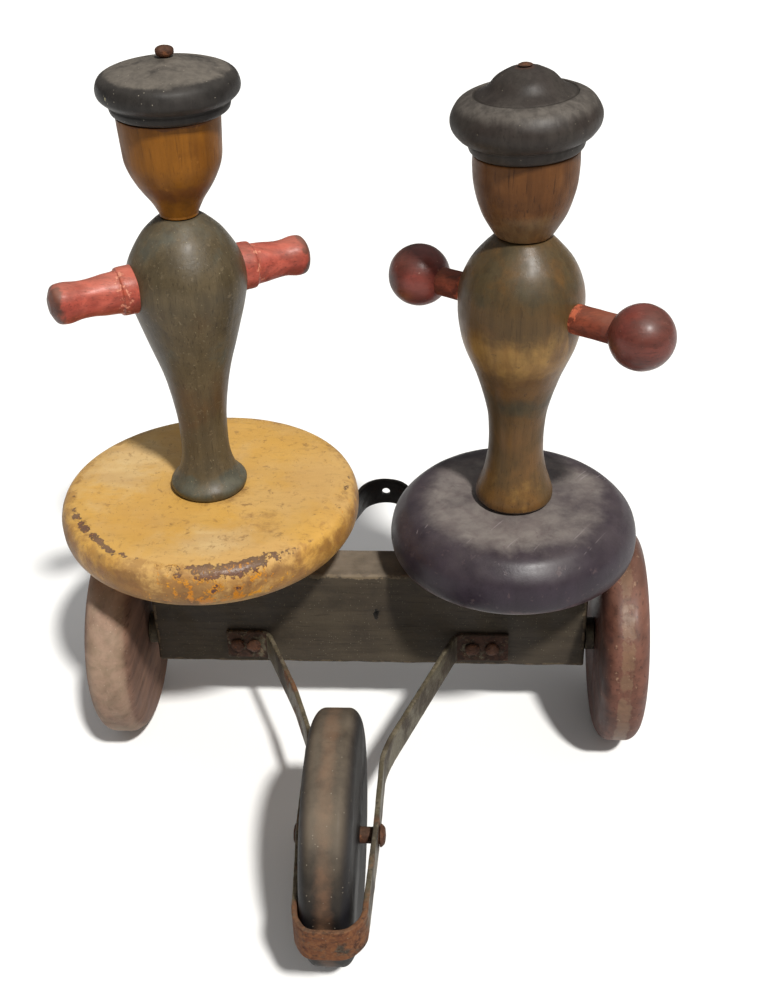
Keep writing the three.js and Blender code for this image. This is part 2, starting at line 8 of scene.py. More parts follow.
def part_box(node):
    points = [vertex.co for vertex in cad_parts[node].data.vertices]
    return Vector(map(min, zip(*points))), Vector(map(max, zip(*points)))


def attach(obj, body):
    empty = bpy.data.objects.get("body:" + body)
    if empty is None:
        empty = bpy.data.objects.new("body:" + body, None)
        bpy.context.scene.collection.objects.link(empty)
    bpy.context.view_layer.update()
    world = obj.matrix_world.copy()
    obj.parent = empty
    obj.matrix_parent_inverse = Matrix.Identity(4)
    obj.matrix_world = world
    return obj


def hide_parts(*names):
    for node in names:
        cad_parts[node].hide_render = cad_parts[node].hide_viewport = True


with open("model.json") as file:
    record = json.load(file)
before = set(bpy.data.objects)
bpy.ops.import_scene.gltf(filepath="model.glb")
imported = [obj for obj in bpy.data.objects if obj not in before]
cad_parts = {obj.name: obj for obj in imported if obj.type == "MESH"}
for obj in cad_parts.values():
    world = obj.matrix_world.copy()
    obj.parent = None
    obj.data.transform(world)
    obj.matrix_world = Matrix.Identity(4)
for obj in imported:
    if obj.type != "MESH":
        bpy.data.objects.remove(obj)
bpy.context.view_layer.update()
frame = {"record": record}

mm = 0.001
print("frame loaded")

# everything is measured from the middle of the cross board, on the floor
boardLow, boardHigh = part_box("beam")
boardMiddle = (boardLow + boardHigh) / 2


def spot(x, y, z):
    return Vector((boardMiddle.x + x * mm, boardMiddle.y + y * mm, z * mm))


def tone(red, green, blue):
    linear = []
    for part in (red, green, blue):
        share = part / 255
        linear.append(share / 12.92 if share <= 0.04045 else ((share + 0.055) / 1.055) ** 2.4)
    return (*linear, 1.0)


# camera first: a long lens, looking down at the toy from the front
camera = {
    "place": (37.84, -449.1, 408.14),
    "target": (9.5, 0.0, 113.29),
    "roll": -1.43,
    "lens": 47.6,
}


def makeCamera():
    data = bpy.data.cameras.new("camera")
    data.sensor_fit = "AUTO"
    data.sensor_width = 36
    data.lens = camera["lens"]
    data.clip_start = 0.01
    data.clip_end = 20
    thing = bpy.data.objects.new("camera", data)
    bpy.context.scene.collection.objects.link(thing)
    place, target = spot(*camera["place"]), spot(*camera["target"])
    turn = (target - place).to_track_quat("-Z", "Y").to_matrix()
    roll = Matrix.Rotation(math.radians(camera["roll"]), 3, "Z")
    thing.matrix_world = Matrix.Translation(place) @ (turn @ roll).to_4x4()
    bpy.context.scene.camera = thing


makeCamera()

# lights and floor: one sharp key from the right and front in an even pale room, brighter overhead
studio = {
    "keyFrom": (400, -700, 1150),
    "keyStrength": 3.7,
    "keyAngle": 4.5,
    "keyTint": (1.0, 0.985, 0.95),
    "diffuse": (0.15, 0.46),  # level with the floor, and overhead
    "side": 0.5,  # how much brighter the right is than the middle
    "glossy": (0.05, 0.35),
    "floor": (0.93, 0.928, 0.92),
    "bounce": 0.72,  # how much of the floor's colour lights the toy from below
}


def makeKey():
    data = bpy.data.lights.new("keyLight", "SUN")
    data.energy = studio["keyStrength"]
    data.angle = math.radians(studio["keyAngle"])
    data.color = studio["keyTint"]
    thing = bpy.data.objects.new("keyLight", data)
    thing.location = spot(*studio["keyFrom"])
    thing.rotation_mode = "QUATERNION"
    thing.rotation_quaternion = (-Vector(studio["keyFrom"])).to_track_quat("-Z", "Y")
    bpy.context.scene.collection.objects.link(thing)


def makeWorld():
    world = bpy.data.worlds.new("room")
    world.use_nodes = True
    nodes, links = world.node_tree.nodes, world.node_tree.links
    path = nodes.new("ShaderNodeLightPath")
    height = nodes.new("ShaderNodeSeparateXYZ")
    links.new(nodes.new("ShaderNodeTexCoord").outputs["Generated"], height.inputs[0])

    def levels(pair):
        ramp = nodes.new("ShaderNodeMapRange")
        links.new(height.outputs["Z"], ramp.inputs["Value"])
        ramp.inputs["To Min"].default_value, ramp.inputs["To Max"].default_value = pair
        return ramp.outputs[0]

    def choose(switch, off, on):
        mix = nodes.new("ShaderNodeMix")
        links.new(switch, mix.inputs[0])
        links.new(off, mix.inputs[2])
        links.new(on, mix.inputs[3])
        return mix.outputs[0]

    tilt = nodes.new("ShaderNodeMapRange")
    links.new(height.outputs["X"], tilt.inputs["Value"])
    tilt.inputs["From Min"].default_value = -1
    tilt.inputs["To Min"].default_value = 1 - studio["side"]
    tilt.inputs["To Max"].default_value = 1 + studio["side"]
    fill = nodes.new("ShaderNodeMath")
    fill.operation = "MULTIPLY"
    links.new(levels(studio["diffuse"]), fill.inputs[0])
    links.new(tilt.outputs[0], fill.inputs[1])
    strength = choose(path.outputs["Is Glossy Ray"], fill.outputs[0], levels(studio["glossy"]))
    strength = choose(path.outputs["Is Camera Ray"], strength, levels((1, 1)))
    links.new(strength, nodes["Background"].inputs["Strength"])
    nodes["Background"].inputs["Color"].default_value = (1, 1, 1, 1)
    bpy.context.scene.world = world


def makeRoom():
    makeWorld()
    makeKey()
    mesh = bpy.data.meshes.new("floor")
    reach = 4.0
    corners = [(-reach, -reach, 0), (reach, -reach, 0), (reach, reach, 0), (-reach, reach, 0)]
    mesh.from_pydata([(x, y, -0.00005) for x, y, z in corners], [], [(0, 1, 2, 3)])
    floor = bpy.data.objects.new("floor", mesh)
    bpy.context.scene.collection.objects.link(floor)
    paper = bpy.data.materials.new("floorPaper")
    paper.use_nodes = True
    shader = paper.node_tree.nodes["Principled BSDF"]
    path = paper.node_tree.nodes.new("ShaderNodeLightPath")
    shown = paper.node_tree.nodes.new("ShaderNodeMix")
    shown.data_type = "RGBA"
    shown.inputs[6].default_value = (*[part * studio["bounce"] for part in studio["floor"]], 1)
    shown.inputs[7].default_value = (*studio["floor"], 1)
    paper.node_tree.links.new(path.outputs["Is Camera Ray"], shown.inputs[0])
    paper.node_tree.links.new(shown.outputs[2], shader.inputs["Base Color"])
    shader.inputs["Roughness"].default_value = 0.9
    shader.inputs["Specular IOR Level"].default_value = 0.1
    mesh.materials.append(paper)


makeRoom()
print("camera, lights and floor made")


# shader helpers
def add(tree, kind, settings=None, plugs=None):
    node = tree.nodes.new("ShaderNode" + kind)
    for key, value in (settings or {}).items():
        setattr(node, key, value)
    for key, value in (plugs or {}).items():
        if isinstance(value, bpy.types.NodeSocket):
            tree.links.new(value, node.inputs[key])
        else:
            node.inputs[key].default_value = value
    return node


def calc(tree, operation, first, second=0.0, clamp=False):
    settings = {"operation": operation, "use_clamp": clamp}
    return add(tree, "Math", settings, {0: first, 1: second}).outputs[0]


def remap(tree, value, low, high, toLow=0.0, toHigh=1.0):
    plugs = {"Value": value, "From Min": low, "From Max": high, "To Min": toLow, "To Max": toHigh}
    return add(tree, "MapRange", {"interpolation_type": "SMOOTHSTEP"}, plugs).outputs[0]


def blendColour(tree, mask, under, over, mode="MIX"):
    settings = {"data_type": "RGBA", "blend_type": mode}
    return add(tree, "Mix", settings, {0: mask, 6: under, 7: over}).outputs[2]


def cloud(tree, vector, scale, detail=4.0, rough=0.55, twist=0.0):
    plugs = {"Vector": vector, "Scale": scale, "Detail": detail, "Roughness": rough, "Distortion": twist}
    return add(tree, "TexNoise", None, plugs).outputs[0]


def newGroup(name, inputs, outputs):
    group = bpy.data.node_groups.new(name, "ShaderNodeTree")
    for label, kind, value in inputs:
        socket = group.interface.new_socket(name=label, in_out="INPUT", socket_type="NodeSocket" + kind)
        if value is not None:
            socket.default_value = value
    for label, kind in outputs:
        group.interface.new_socket(name=label, in_out="OUTPUT", socket_type="NodeSocket" + kind)
    return group, group.nodes.new("NodeGroupInput").outputs, group.nodes.new("NodeGroupOutput").inputs


def place(tree, group, plugs):
    node = tree.nodes.new("ShaderNodeGroup")
    node.node_tree = group
    for key, value in plugs.items():
        if isinstance(value, bpy.types.NodeSocket):
            tree.links.new(value, node.inputs[key])
        else:
            node.inputs[key].default_value = value
    return node.outputs


def makeGrain():
    group, given, out = newGroup(
        "woodGrain",
        [("Vector", "Vector", None), ("Along", "Vector", (1, 1, 0.07)), ("Scale", "Float", 300.0)],
        [("Streaks", "Float"), ("Pores", "Float")],
    )
    drawn = add(group, "VectorMath", {"operation": "MULTIPLY"},
                {0: given["Vector"], 1: given["Along"]}).outputs[0]
    broad = cloud(group, drawn, given["Scale"], 5.0, 0.6, 0.4)
    fineScale = calc(group, "MULTIPLY", given["Scale"], 4.5)
    fine = cloud(group, drawn, fineScale, 3.0, 0.6)
    group.links.new(remap(group, broad, 0.34, 0.68), out["Streaks"])
    group.links.new(remap(group, fine, 0.56, 0.7), out["Pores"])
    return group


def makeMottle():
    group, given, out = newGroup(
        "mottle",
        [("Vector", "Vector", None), ("Scale", "Float", 40.0), ("Low", "Float", 0.4),
         ("High", "Float", 0.62)],
        [("Patches", "Float")],
    )
    patches = cloud(group, given["Vector"], given["Scale"], 7.0, 0.6, 0.3)
    group.links.new(remap(group, patches, given["Low"], given["High"]), out["Patches"])
    return group


def makeWorn():
    group, given, out = newGroup(
        "wornThrough",
        [("Vector", "Vector", None), ("Scale", "Float", 200.0), ("Zone", "Float", 0.0),
         ("Reach", "Float", 0.4), ("Amount", "Float", 0.4), ("Softness", "Float", 0.02)],
        [("Mask", "Float"), ("Rim", "Float")],
    )
    broken = cloud(group, given["Vector"], given["Scale"], 8.0, 0.68, 0.2)
    push = calc(group, "MULTIPLY", given["Zone"], given["Reach"])
    level = calc(group, "SUBTRACT", calc(group, "ADD", calc(group, "ADD", broken, push), given["Amount"]),
                 1.0)
    low = calc(group, "MULTIPLY", given["Softness"], -1.0)
    group.links.new(remap(group, level, low, given["Softness"]), out["Mask"])
    far = calc(group, "ABSOLUTE", level)
    wide = calc(group, "MULTIPLY", given["Softness"], 1.6)
    group.links.new(remap(group, far, wide, 0.0), out["Rim"])
    return group


def makeDust():
    group, given, out = newGroup(
        "dustFilm",
        [("Vector", "Vector", None), ("Scale", "Float", 60.0), ("Amount", "Float", 0.3)],
        [("Mask", "Float")],
    )
    facing = add(group, "NewGeometry").outputs["Normal"]
    up = add(group, "SeparateXYZ", None, {0: facing}).outputs["Z"]
    lying = remap(group, up, 0.1, 0.95)
    patchy = remap(group, cloud(group, given["Vector"], given["Scale"], 6.0, 0.6), 0.3, 0.7, 0.35, 1.0)
    both = calc(group, "MULTIPLY", lying, patchy)
    group.links.new(calc(group, "MULTIPLY", both, given["Amount"]), out["Mask"])
    return group


def makeSpecks():
    group, given, out = newGroup(
        "specks",
        [("Vector", "Vector", None), ("Scale", "Float", 500.0), ("Density", "Float", 0.2),
         ("Size", "Float", 0.25)],
        [("Mask", "Float")],
    )
    cells = add(group, "TexVoronoi", None, {"Vector": given["Vector"], "Scale": given["Scale"]})
    small = calc(group, "MULTIPLY", given["Size"], 0.5)
    dots = remap(group, cells.outputs["Distance"], given["Size"], small)
    pick = add(group, "SeparateColor", None, {0: cells.outputs["Color"]}).outputs[0]
    chosen = calc(group, "LESS_THAN", pick, given["Density"])
    group.links.new(calc(group, "MULTIPLY", dots, chosen), out["Mask"])
    return group


def makeScratches():
    group, given, out = newGroup(
        "scratches",
        [("Vector", "Vector", None), ("Scale", "Float", 900.0), ("Amount", "Float", 0.5),
         ("Bearing", "Float", 0.6)],
        [("Mask", "Float")],
    )
    turned = add(group, "VectorRotate", {"rotation_type": "Z_AXIS"},
                 {"Vector": given["Vector"], "Angle": given["Bearing"]})
    drawn = add(group, "VectorMath", {"operation": "MULTIPLY"},
                {0: turned.outputs[0], 1: (1.0, 0.03, 0.5)}).outputs[0]
    lines = remap(group, cloud(group, drawn, given["Scale"], 2.0, 0.5, 0.1), 0.66, 0.72)
    patch = remap(group, cloud(group, given["Vector"], 45.0, 2.0), 0.5, 0.62)
    both = calc(group, "MULTIPLY", lines, patch)
    group.links.new(calc(group, "MULTIPLY", both, given["Amount"]), out["Mask"])
    return group


def makeLatheMarks():
    group, given, out = newGroup(
        "latheMarks",
        [("Along", "Float", 0.0), ("Pitch", "Float", 1100.0)],
        [("Height", "Float")],
    )
    spread = add(group, "CombineXYZ", None, {"X": calc(group, "MULTIPLY", given["Along"],
        given["Pitch"])}).outputs[0]
    group.links.new(cloud(group, spread, 1.0, 3.0, 0.6), out["Height"])
    return group


woodGrain = makeGrain()
mottle = makeMottle()
wornThrough = makeWorn()
dustFilm = makeDust()
specks = makeSpecks()
scratches = makeScratches()
latheMarks = makeLatheMarks()
print("shader groups made")


def zoneOf(tree, name):
    return add(tree, "Attribute", {"attribute_type": "GEOMETRY", "attribute_name": name}).outputs["Fac"]


# what any look may say, and what holds where it says nothing
plainLook = {
    "paint": (120, 110, 95), "second": (100, 90, 80), "mottleScale": 60.0, "mottle": (0.38, 0.64),
    "grain": 0.25, "grainScale": 260.0, "along": (1.0, 1.0, 0.06), "pores": 0.25,
    "layers": [], "dust": (170, 160, 145), "dustAmount": 0.12, "dustScale": 70.0,
    "specks": 0.0, "speckTone": (190, 180, 160), "scratches": 0.0, "scratchTone": (190, 175, 150),
    "rough": (0.38, 0.6), "sheen": 0.0, "shine": 0.32, "metal": 0.0, "bump": 0.35, "marks": 0.3,
}


# what every finish shares
surface = {
    "streakDark": (0.12, 0.1, 0.09, 1), "poreDark": (0.1, 0.08, 0.07, 1), "streakDepth": -0.3,
    "filmRough": 0.35, "speckScale": 1100.0, "speckCover": 0.75,
    "fineScale": 900.0, "fineDepth": 0.5, "bumpDistance": 0.0004, "coatRough": 0.3,
}


# painted, stained or bare wood, and metal too: a ground colour, grain, worn layers, dust and specks
def makeFinish(name, look):
    full = {**plainLook, **look}
    made = bpy.data.materials.new(name)
    made.use_nodes = True
    tree = made.node_tree
    shader = tree.nodes["Principled BSDF"]
    where = add(tree, "TexCoord").outputs["Object"]
    patches = place(tree, mottle, {"Vector": where, "Scale": full["mottleScale"],
                                   "Low": full["mottle"][0], "High": full["mottle"][1]})["Patches"]
    grain = place(tree, woodGrain, {"Vector": where, "Along": full["along"], "Scale": full["grainScale"]})
    colour = blendColour(tree, patches, tone(*full["paint"]), tone(*full["second"]))
    shade = calc(tree, "MULTIPLY", grain["Streaks"], full["grain"])
    colour = blendColour(tree, shade, colour, surface["streakDark"], "MULTIPLY")
    pores = calc(tree, "MULTIPLY", grain["Pores"], full["pores"])
    colour = blendColour(tree, pores, colour, surface["poreDark"], "MULTIPLY")
    rough = remap(tree, patches, 0.0, 1.0, *full["rough"])
    height = calc(tree, "MULTIPLY", grain["Streaks"], surface["streakDepth"])
    for layer in full["layers"]:
        zone = zoneOf(tree, layer["zone"]) if layer.get("zone") else 0.0
        worn = place(tree, wornThrough, {
            "Vector": where, "Scale": layer["scale"], "Zone": zone, "Reach": layer.get("reach", 0.4),
            "Amount": layer["amount"], "Softness": layer.get("soft", 0.02)})
        mask = calc(tree, "MULTIPLY", worn["Mask"], layer.get("cover", 1.0))
        over = blendColour(tree, grain["Streaks"], tone(*layer["tone"]),
                           tone(*layer.get("dark", layer["tone"])))
        colour = blendColour(tree, mask, colour, over)
        if layer.get("rimTone"):
            ring = calc(tree, "MULTIPLY", worn["Rim"], layer.get("rimCover", 0.6))
            colour = blendColour(tree, ring, colour, tone(*layer["rimTone"]))
        if "rough" in layer:
            rough = add(tree, "Mix", {"data_type": "FLOAT"}, {0: mask, 2: rough,
                3: layer["rough"]}).outputs[0]
        height = calc(tree, "ADD", height, calc(tree, "MULTIPLY", worn["Mask"], layer.get("lift", 0.0)))
    if full["scratches"]:
        lines = place(tree, scratches, {"Vector": where, "Amount": full["scratches"]})["Mask"]
        colour = blendColour(tree, lines, colour, tone(*full["scratchTone"]))
        height = calc(tree, "SUBTRACT", height, lines)
    film = place(tree, dustFilm, {"Vector": where, "Scale": full["dustScale"],
                                  "Amount": full["dustAmount"]})["Mask"]
    colour = blendColour(tree, film, colour, tone(*full["dust"]))
    rough = calc(tree, "ADD", rough, calc(tree, "MULTIPLY", film, surface["filmRough"]), True)
    if full["specks"]:
        dots = place(tree, specks, {"Vector": where, "Density": full["specks"],
                                    "Scale": surface["speckScale"]})["Mask"]
        colour = blendColour(tree, calc(tree, "MULTIPLY", dots, surface["speckCover"]), colour,
                             tone(*full["speckTone"]))
    turning = place(tree, latheMarks, {"Along": zoneOf(tree, "along")})["Height"]
    height = calc(tree, "ADD", height, calc(tree, "MULTIPLY", turning, full["marks"]))
    fine = cloud(tree, where, surface["fineScale"], 4.0, 0.6)
    height = calc(tree, "ADD", height, calc(tree, "MULTIPLY", fine, surface["fineDepth"]))
    bump = add(tree, "Bump", None, {"Strength": full["bump"], "Distance": surface["bumpDistance"],
                                    "Height": height})
    tree.links.new(colour, shader.inputs["Base Color"])
    tree.links.new(rough, shader.inputs["Roughness"])
    tree.links.new(bump.outputs[0], shader.inputs["Normal"])
    shader.inputs["Metallic"].default_value = full["metal"]
    shader.inputs["Specular IOR Level"].default_value = full["shine"]
    shader.inputs["Coat Weight"].default_value = full["sheen"]
    shader.inputs["Coat Roughness"].default_value = surface["coatRough"]
    return made


# mesh helpers
def smoothLine(points, perSpan):
    line = []
    last = len(points) - 1
    for i in range(last):
        before = points[max(i - 1, 0)]
        after = points[min(i + 2, last)]
        for k in range(perSpan):
            t = k / perSpan
            pair = []
            for a, b, c, d in zip(before, points[i], points[i + 1], after):
                into, away = (c - a) / 2, (d - b) / 2
                cubed = 2 * b - 2 * c + into + away
                squared = 3 * c - 3 * b - 2 * into - away
                pair.append(cubed * t ** 3 + squared * t ** 2 + into * t + b)
            line.append(tuple(pair))
    line.append(points[last])
    return line


def evenly(line, step):
    spaced = [line[0]]
    for start, end in zip(line, line[1:]):
        length = math.dist(start, end)
        pieces = max(1, math.ceil(length / step))
        for k in range(1, pieces + 1):
            spaced.append(tuple(a + (b - a) * k / pieces for a, b in zip(start, end)))
    return spaced


bodyOfNode = {node: body for body, nodes in frame["record"]["behaviour"]["bodies"].items() for node in nodes}


# a new piece stands for one CAD node: same body, inside the same box
def standFor(piece, node):
    low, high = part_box(node)
    for vertex in piece.data.vertices:
        vertex.co = [min(max(c, a), b) for c, a, b in zip(vertex.co, low, high)]
    piece.data.update()
    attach(piece, bodyOfNode[node])
    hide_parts(node)


def newPiece(name, mesh, finish, sharp=38.0):
    mesh.polygons.foreach_set("use_smooth", [True] * len(mesh.polygons))
    mesh.set_sharp_from_angle(angle=math.radians(sharp))
    mesh.materials.append(finish)
    piece = bpy.data.objects.new(name, mesh)
    bpy.context.scene.collection.objects.link(piece)
    return piece


def writeZone(mesh, name, values):
    zone = mesh.attributes.new(name, "FLOAT", "POINT")
    zone.data.foreach_set("value", values)


def bendAt(line, i):
    if i in (0, len(line) - 1):
        return 0.0
    (r0, h0), (r1, h1), (r2, h2) = line[i - 1], line[i], line[i + 1]
    into, away = math.atan2(h1 - h0, r1 - r0), math.atan2(h2 - h1, r2 - r1)
    turn = (away - into + math.pi) % (2 * math.pi) - math.pi
    return turn / max(0.3, (math.dist((r0, h0), (r1, h1)) + math.dist((r1, h1), (r2, h2))) / 2)


# A turned piece. The outline is [radius, height] in mm, up the outside. Bearing 0 faces the front and
# 90 the right. Zones are written for the shader: along, edge and any that the piece asks for.
def turnedMesh(name, outline, bore=0.0, sides=144, wobble=0.06, seed=1, zones=None, step=1.0):
    line = evenly(outline, step)
    bends = [bendAt(line, i) for i in range(len(line))]
    soft = [sum(bends[max(0, i - 2):i + 3]) / len(bends[max(0, i - 2):i + 3]) for i in range(len(line))]
    points, faces, along, edge = [], [], [], []
    extra = {key: [] for key in (zones or {})}
    drift = Vector((seed * 7.3, seed * 3.1, seed * 5.7))
    travelled = 0.0
    for i, (radius, height) in enumerate(line):
        travelled += math.dist(line[i - 1], line[i]) if i else 0.0
        for k in range(sides):
            bearing = 2 * math.pi * k / sides
            across = Vector((math.sin(bearing), -math.cos(bearing), 0))
            shift = noise.noise(across * 1.3 + Vector((0, 0, height * 0.05)) + drift) * wobble
            shift += noise.noise(across * radius * 0.22 + Vector((0, 0,
                height * 0.22)) + drift) * wobble * 0.5
            reach = max(radius + (shift if radius > bore + 0.6 else 0.0), 0.0)
            points.append((reach * across.x * mm, reach * across.y * mm, height * mm))
            along.append(travelled / 100)
            edge.append(min(1.0, max(0.0, soft[i] * 2.2)))
            for key, rule in (zones or {}).items():
                extra[key].append(rule((math.degrees(bearing) + 180) % 360 - 180, radius, height))
    rings = len(line)
    closed = rings if bore else rings - 1
    for i in range(closed):
        for k in range(sides):
            a, b = i * sides + k, i * sides + (k + 1) % sides
            c, d = ((i + 1) % rings) * sides + (k + 1) % sides, ((i + 1) % rings) * sides + k
            faces.append((a, b, c, d))
    mesh = bpy.data.meshes.new(name)
    mesh.from_pydata(points, [], faces)
    writeZone(mesh, "along", along)
    writeZone(mesh, "edge", edge)
    for key, values in extra.items():
        writeZone(mesh, key, values)
    tidyMesh(mesh)
    return mesh


def tidyMesh(mesh):
    work = bmesh.new()
    work.from_mesh(mesh)
    bmesh.ops.remove_doubles(work, verts=work.verts, dist=1e-6)
    bmesh.ops.recalc_face_normals(work, faces=work.faces)
    work.to_mesh(mesh)
    work.free()


def bump01(value, centre, width):
    return math.exp(-((value - centre) / width) ** 2)


def ramp(value, low, high):
    share = min(1.0, max(0.0, (value - low) / (high - low)))
    return share * share * (3 - 2 * share)


def onBend(start, here, end, t):
    return tuple((1 - t) ** 2 * s + 2 * t * (1 - t) * h + t ** 2 * e for s, h, e in zip(start, here, end))


# rounds the sharp corners of an outline with a few points each
def softCorners(line, reach, sharpest=22):
    soft = [line[0]]
    for before, here, after in zip(line, line[1:], line[2:]):
        into = math.atan2(here[1] - before[1], here[0] - before[0])
        away = math.atan2(after[1] - here[1], after[0] - here[0])
        turn = abs((away - into + math.pi) % (2 * math.pi) - math.pi)
        if math.degrees(turn) < sharpest:
            soft.append(here)
            continue
        back = min(reach, math.dist(before, here) * 0.45) / max(math.dist(before, here), 1e-6)
        ahead = min(reach, math.dist(after, here) * 0.45) / max(math.dist(after, here), 1e-6)
        start = [h + (b - h) * back for h, b in zip(here, before)]
        end = [h + (a - h) * ahead for h, a in zip(here, after)]
        for k in range(6):
            soft.append(onBend(start, here, end, k / 5))
    soft.append(line[-1])
    return soft


def upright(x, y=0.0):
    return Matrix.Translation(spot(x, y, 0))


def lying(x, y, z):  # the turned axis lies along the toy's width
    return Matrix.Translation(spot(x, y, z)) @ Matrix.Rotation(math.radians(90), 4, "Y")


def reaching(x, height, bearing):  # the turned axis reaches out from a figure
    aim = Matrix.Rotation(math.radians(bearing), 4, "Z") @ Matrix.Rotation(math.radians(90), 4, "Y")
    return Matrix.Translation(spot(x, 0, height)) @ aim


def leaning(x, pivot, degrees):  # upright, then leaned over sideways about a point on its axis
    lean = Matrix.Rotation(math.radians(-degrees), 4, "Y")
    return Matrix.Translation(spot(x, 0, pivot)) @ lean @ Matrix.Translation((0, 0, -pivot * mm))


def slopeTop(mesh, degrees):  # the flat top is cut on a slope, rising to the right
    top = max(vertex.co.z for vertex in mesh.vertices)
    for vertex in mesh.vertices:
        vertex.co.z += vertex.co.x * math.tan(math.radians(degrees)) * ramp(vertex.co.z, top - 5 * mm, top)


def turn(node, outline, finish, where, slope=0, **extra):
    extra.setdefault("seed", sum(ord(letter) for letter in node) % 97)
    mesh = turnedMesh(node + "Mesh", outline, **extra)
    if slope:
        slopeTop(mesh, slope)
    mesh.transform(where)
    piece = newPiece(node + "Turned", mesh, finish)
    standFor(piece, node)
    return piece


# yellow disc: ochre over a red-brown ground, worn through round the shoulder, bright flakes at the front,
# painted shade on the rim (heaviest on the left) and round the figure's foot
yellowDisc = {
    "x": -63.4,
    "underside": 91.6, "bore": 3.3,
    "crown": 28.35,
    "rim": [(43.4, 0), (47.4, 3), (52, 6.6), (57, 10.4), (59.7, 14.5), (60.45, 19.5), (59.7, 23.8),
            (57.2, 26.9), (50, 28.2)],
    "look": {
        "paint": (203, 155, 73), "second": (200, 158, 92), "mottleScale": 26.0, "mottle": (0.42, 0.6),
        "grain": 0.08, "grainScale": 120.0, "along": (0.3, 1.0, 1.0), "pores": 0.16,
        "dust": (216, 188, 130), "dustAmount": 0.16, "rough": (0.4, 0.6), "sheen": 0.08, "bump": 0.45,
        "specks": 0.05, "speckTone": (95, 62, 45),
        "layers": [
            {"zone": "pale", "scale": 60, "amount": 0.2, "reach": 0.44, "soft": 0.2, "cover": 0.72,
             "tone": (212, 186, 138), "dark": (192, 160, 114)},
            # darker brown rim and a smear, with painted shade in a ring round the figure's foot
            {"zone": "darkRimAndFootShade", "scale": 90, "amount": 0.18, "reach": 0.42, "soft": 0.1, "cover": 0.7,
             "tone": (129, 82, 33), "dark": (103, 63, 28)},
            {"scale": 170, "amount": 0.36, "soft": 0.04, "cover": 0.6,
             "tone": (124, 84, 48), "dark": (92, 60, 42), "lift": -0.4},
            {"scale": 34, "amount": 0.46, "soft": 0.2, "cover": 0.3, "tone": (176, 126, 70)},
            {"scale": 420, "amount": 0.385, "soft": 0.06, "cover": 0.4, "tone": (132, 92, 54), "lift": -0.3},
            # painted shade: darker brown patches round the outer rim, heaviest on the left, away from the key
            # light
            {"zone": "shoulder", "scale": 150, "amount": 0.1, "reach": 0.42, "soft": 0.09, "cover": 0.6,
             "tone": (150, 102, 50), "dark": (112, 76, 46), "lift": -0.4},
            {"zone": "bright", "scale": 260, "amount": 0.1, "reach": 0.44, "soft": 0.03, "cover": 0.92,
             "tone": (226, 158, 22), "dark": (196, 120, 14), "rough": 0.34, "lift": 0.9},
            {"zone": "bare", "scale": 260, "amount": 0.1, "reach": 0.54, "soft": 0.02,
             "tone": (104, 70, 58), "dark": (84, 56, 50), "rimTone": (66, 42, 26), "rough": 0.26,
             "lift": -1.6},
            {"zone": "bare", "scale": 520, "amount": 0.03, "reach": 0.42, "soft": 0.03, "cover": 0.85,
             "tone": (190, 122, 34), "rough": 0.36, "lift": 0.6},
        ],
    },
}


def discOutline(settings):
    low, bore = settings["underside"], settings["bore"]
    rim = [(r, h + low) for r, h in smoothLine(settings["rim"], 8)]
    return softCorners([(bore, low), *rim, (bore, low + settings["crown"])], 0.8)


def discMade(node, settings, finish, **extra):
    turn(node, discOutline(settings), finish, upright(settings["x"]), bore=settings["bore"], **extra)


def yellowBare(bearing, radius, height):
    wander = 2.2 * noise.noise(Vector((bearing * 0.05, 3, 1)))
    front = bump01(bearing, 16, 36) * bump01(radius, 57.5 + wander, 4)
    left = 0.9 * bump01(bearing, -50, 44) * bump01(radius, 54.5 + wander, 2.8)
    right = 0.62 * bump01(bearing, 88, 36) * bump01(radius, 56, 4)
    return max(front, left, right, 0.3 * bump01(radius, 57, 4)) * ramp(height, 102, 111)


def yellowBright(bearing, radius, height):
    ring = bump01(radius, 58, 6) * ramp(height, 98, 106)
    return ring * max(bump01(bearing, 12, 44), 0.74 * bump01(bearing, 80, 30))


# painted shade round the outer rim, heaviest on the left, away from the key light
def yellowRimShade(bearing, radius, height):
    return ramp(radius, 50.5, 55.5) * ramp(height, 95, 103) * (0.82 + 0.18 * bump01(bearing, -60, 60))


def yellowPale(bearing, radius, height):
    if height < 112:
        return 0.0
    left = bump01(bearing, -112, 50) * bump01(radius, 40, 22)
    front = bump01(bearing, 12, 26) * bump01(radius, 41, 11)
    return max(left, front)


# darker brown round the outer rim and less on top, a smear on the top, and painted shade in a ring round the
# figure's foot
def yellowDarkRimAndFootShade(bearing, radius, height):
    edge = bump01(radius, 60, 9) * (1 - ramp(height, 113, 120) * 0.55)
    smear = bump01(bearing, 42, 26) * bump01(radius, 36, 13)
    return max(edge * 0.9, smear * 0.8, 0.6 * bump01(radius, 15, 4))


ochrePaint = makeFinish("ochrePaint", yellowDisc["look"])
discMade("yellow_disc", yellowDisc, ochrePaint, sides=176, wobble=0.2, zones={
    "bare": yellowBare, "bright": yellowBright, "pale": yellowPale, "darkRimAndFootShade": yellowDarkRimAndFootShade,
    "shoulder": yellowRimShade})

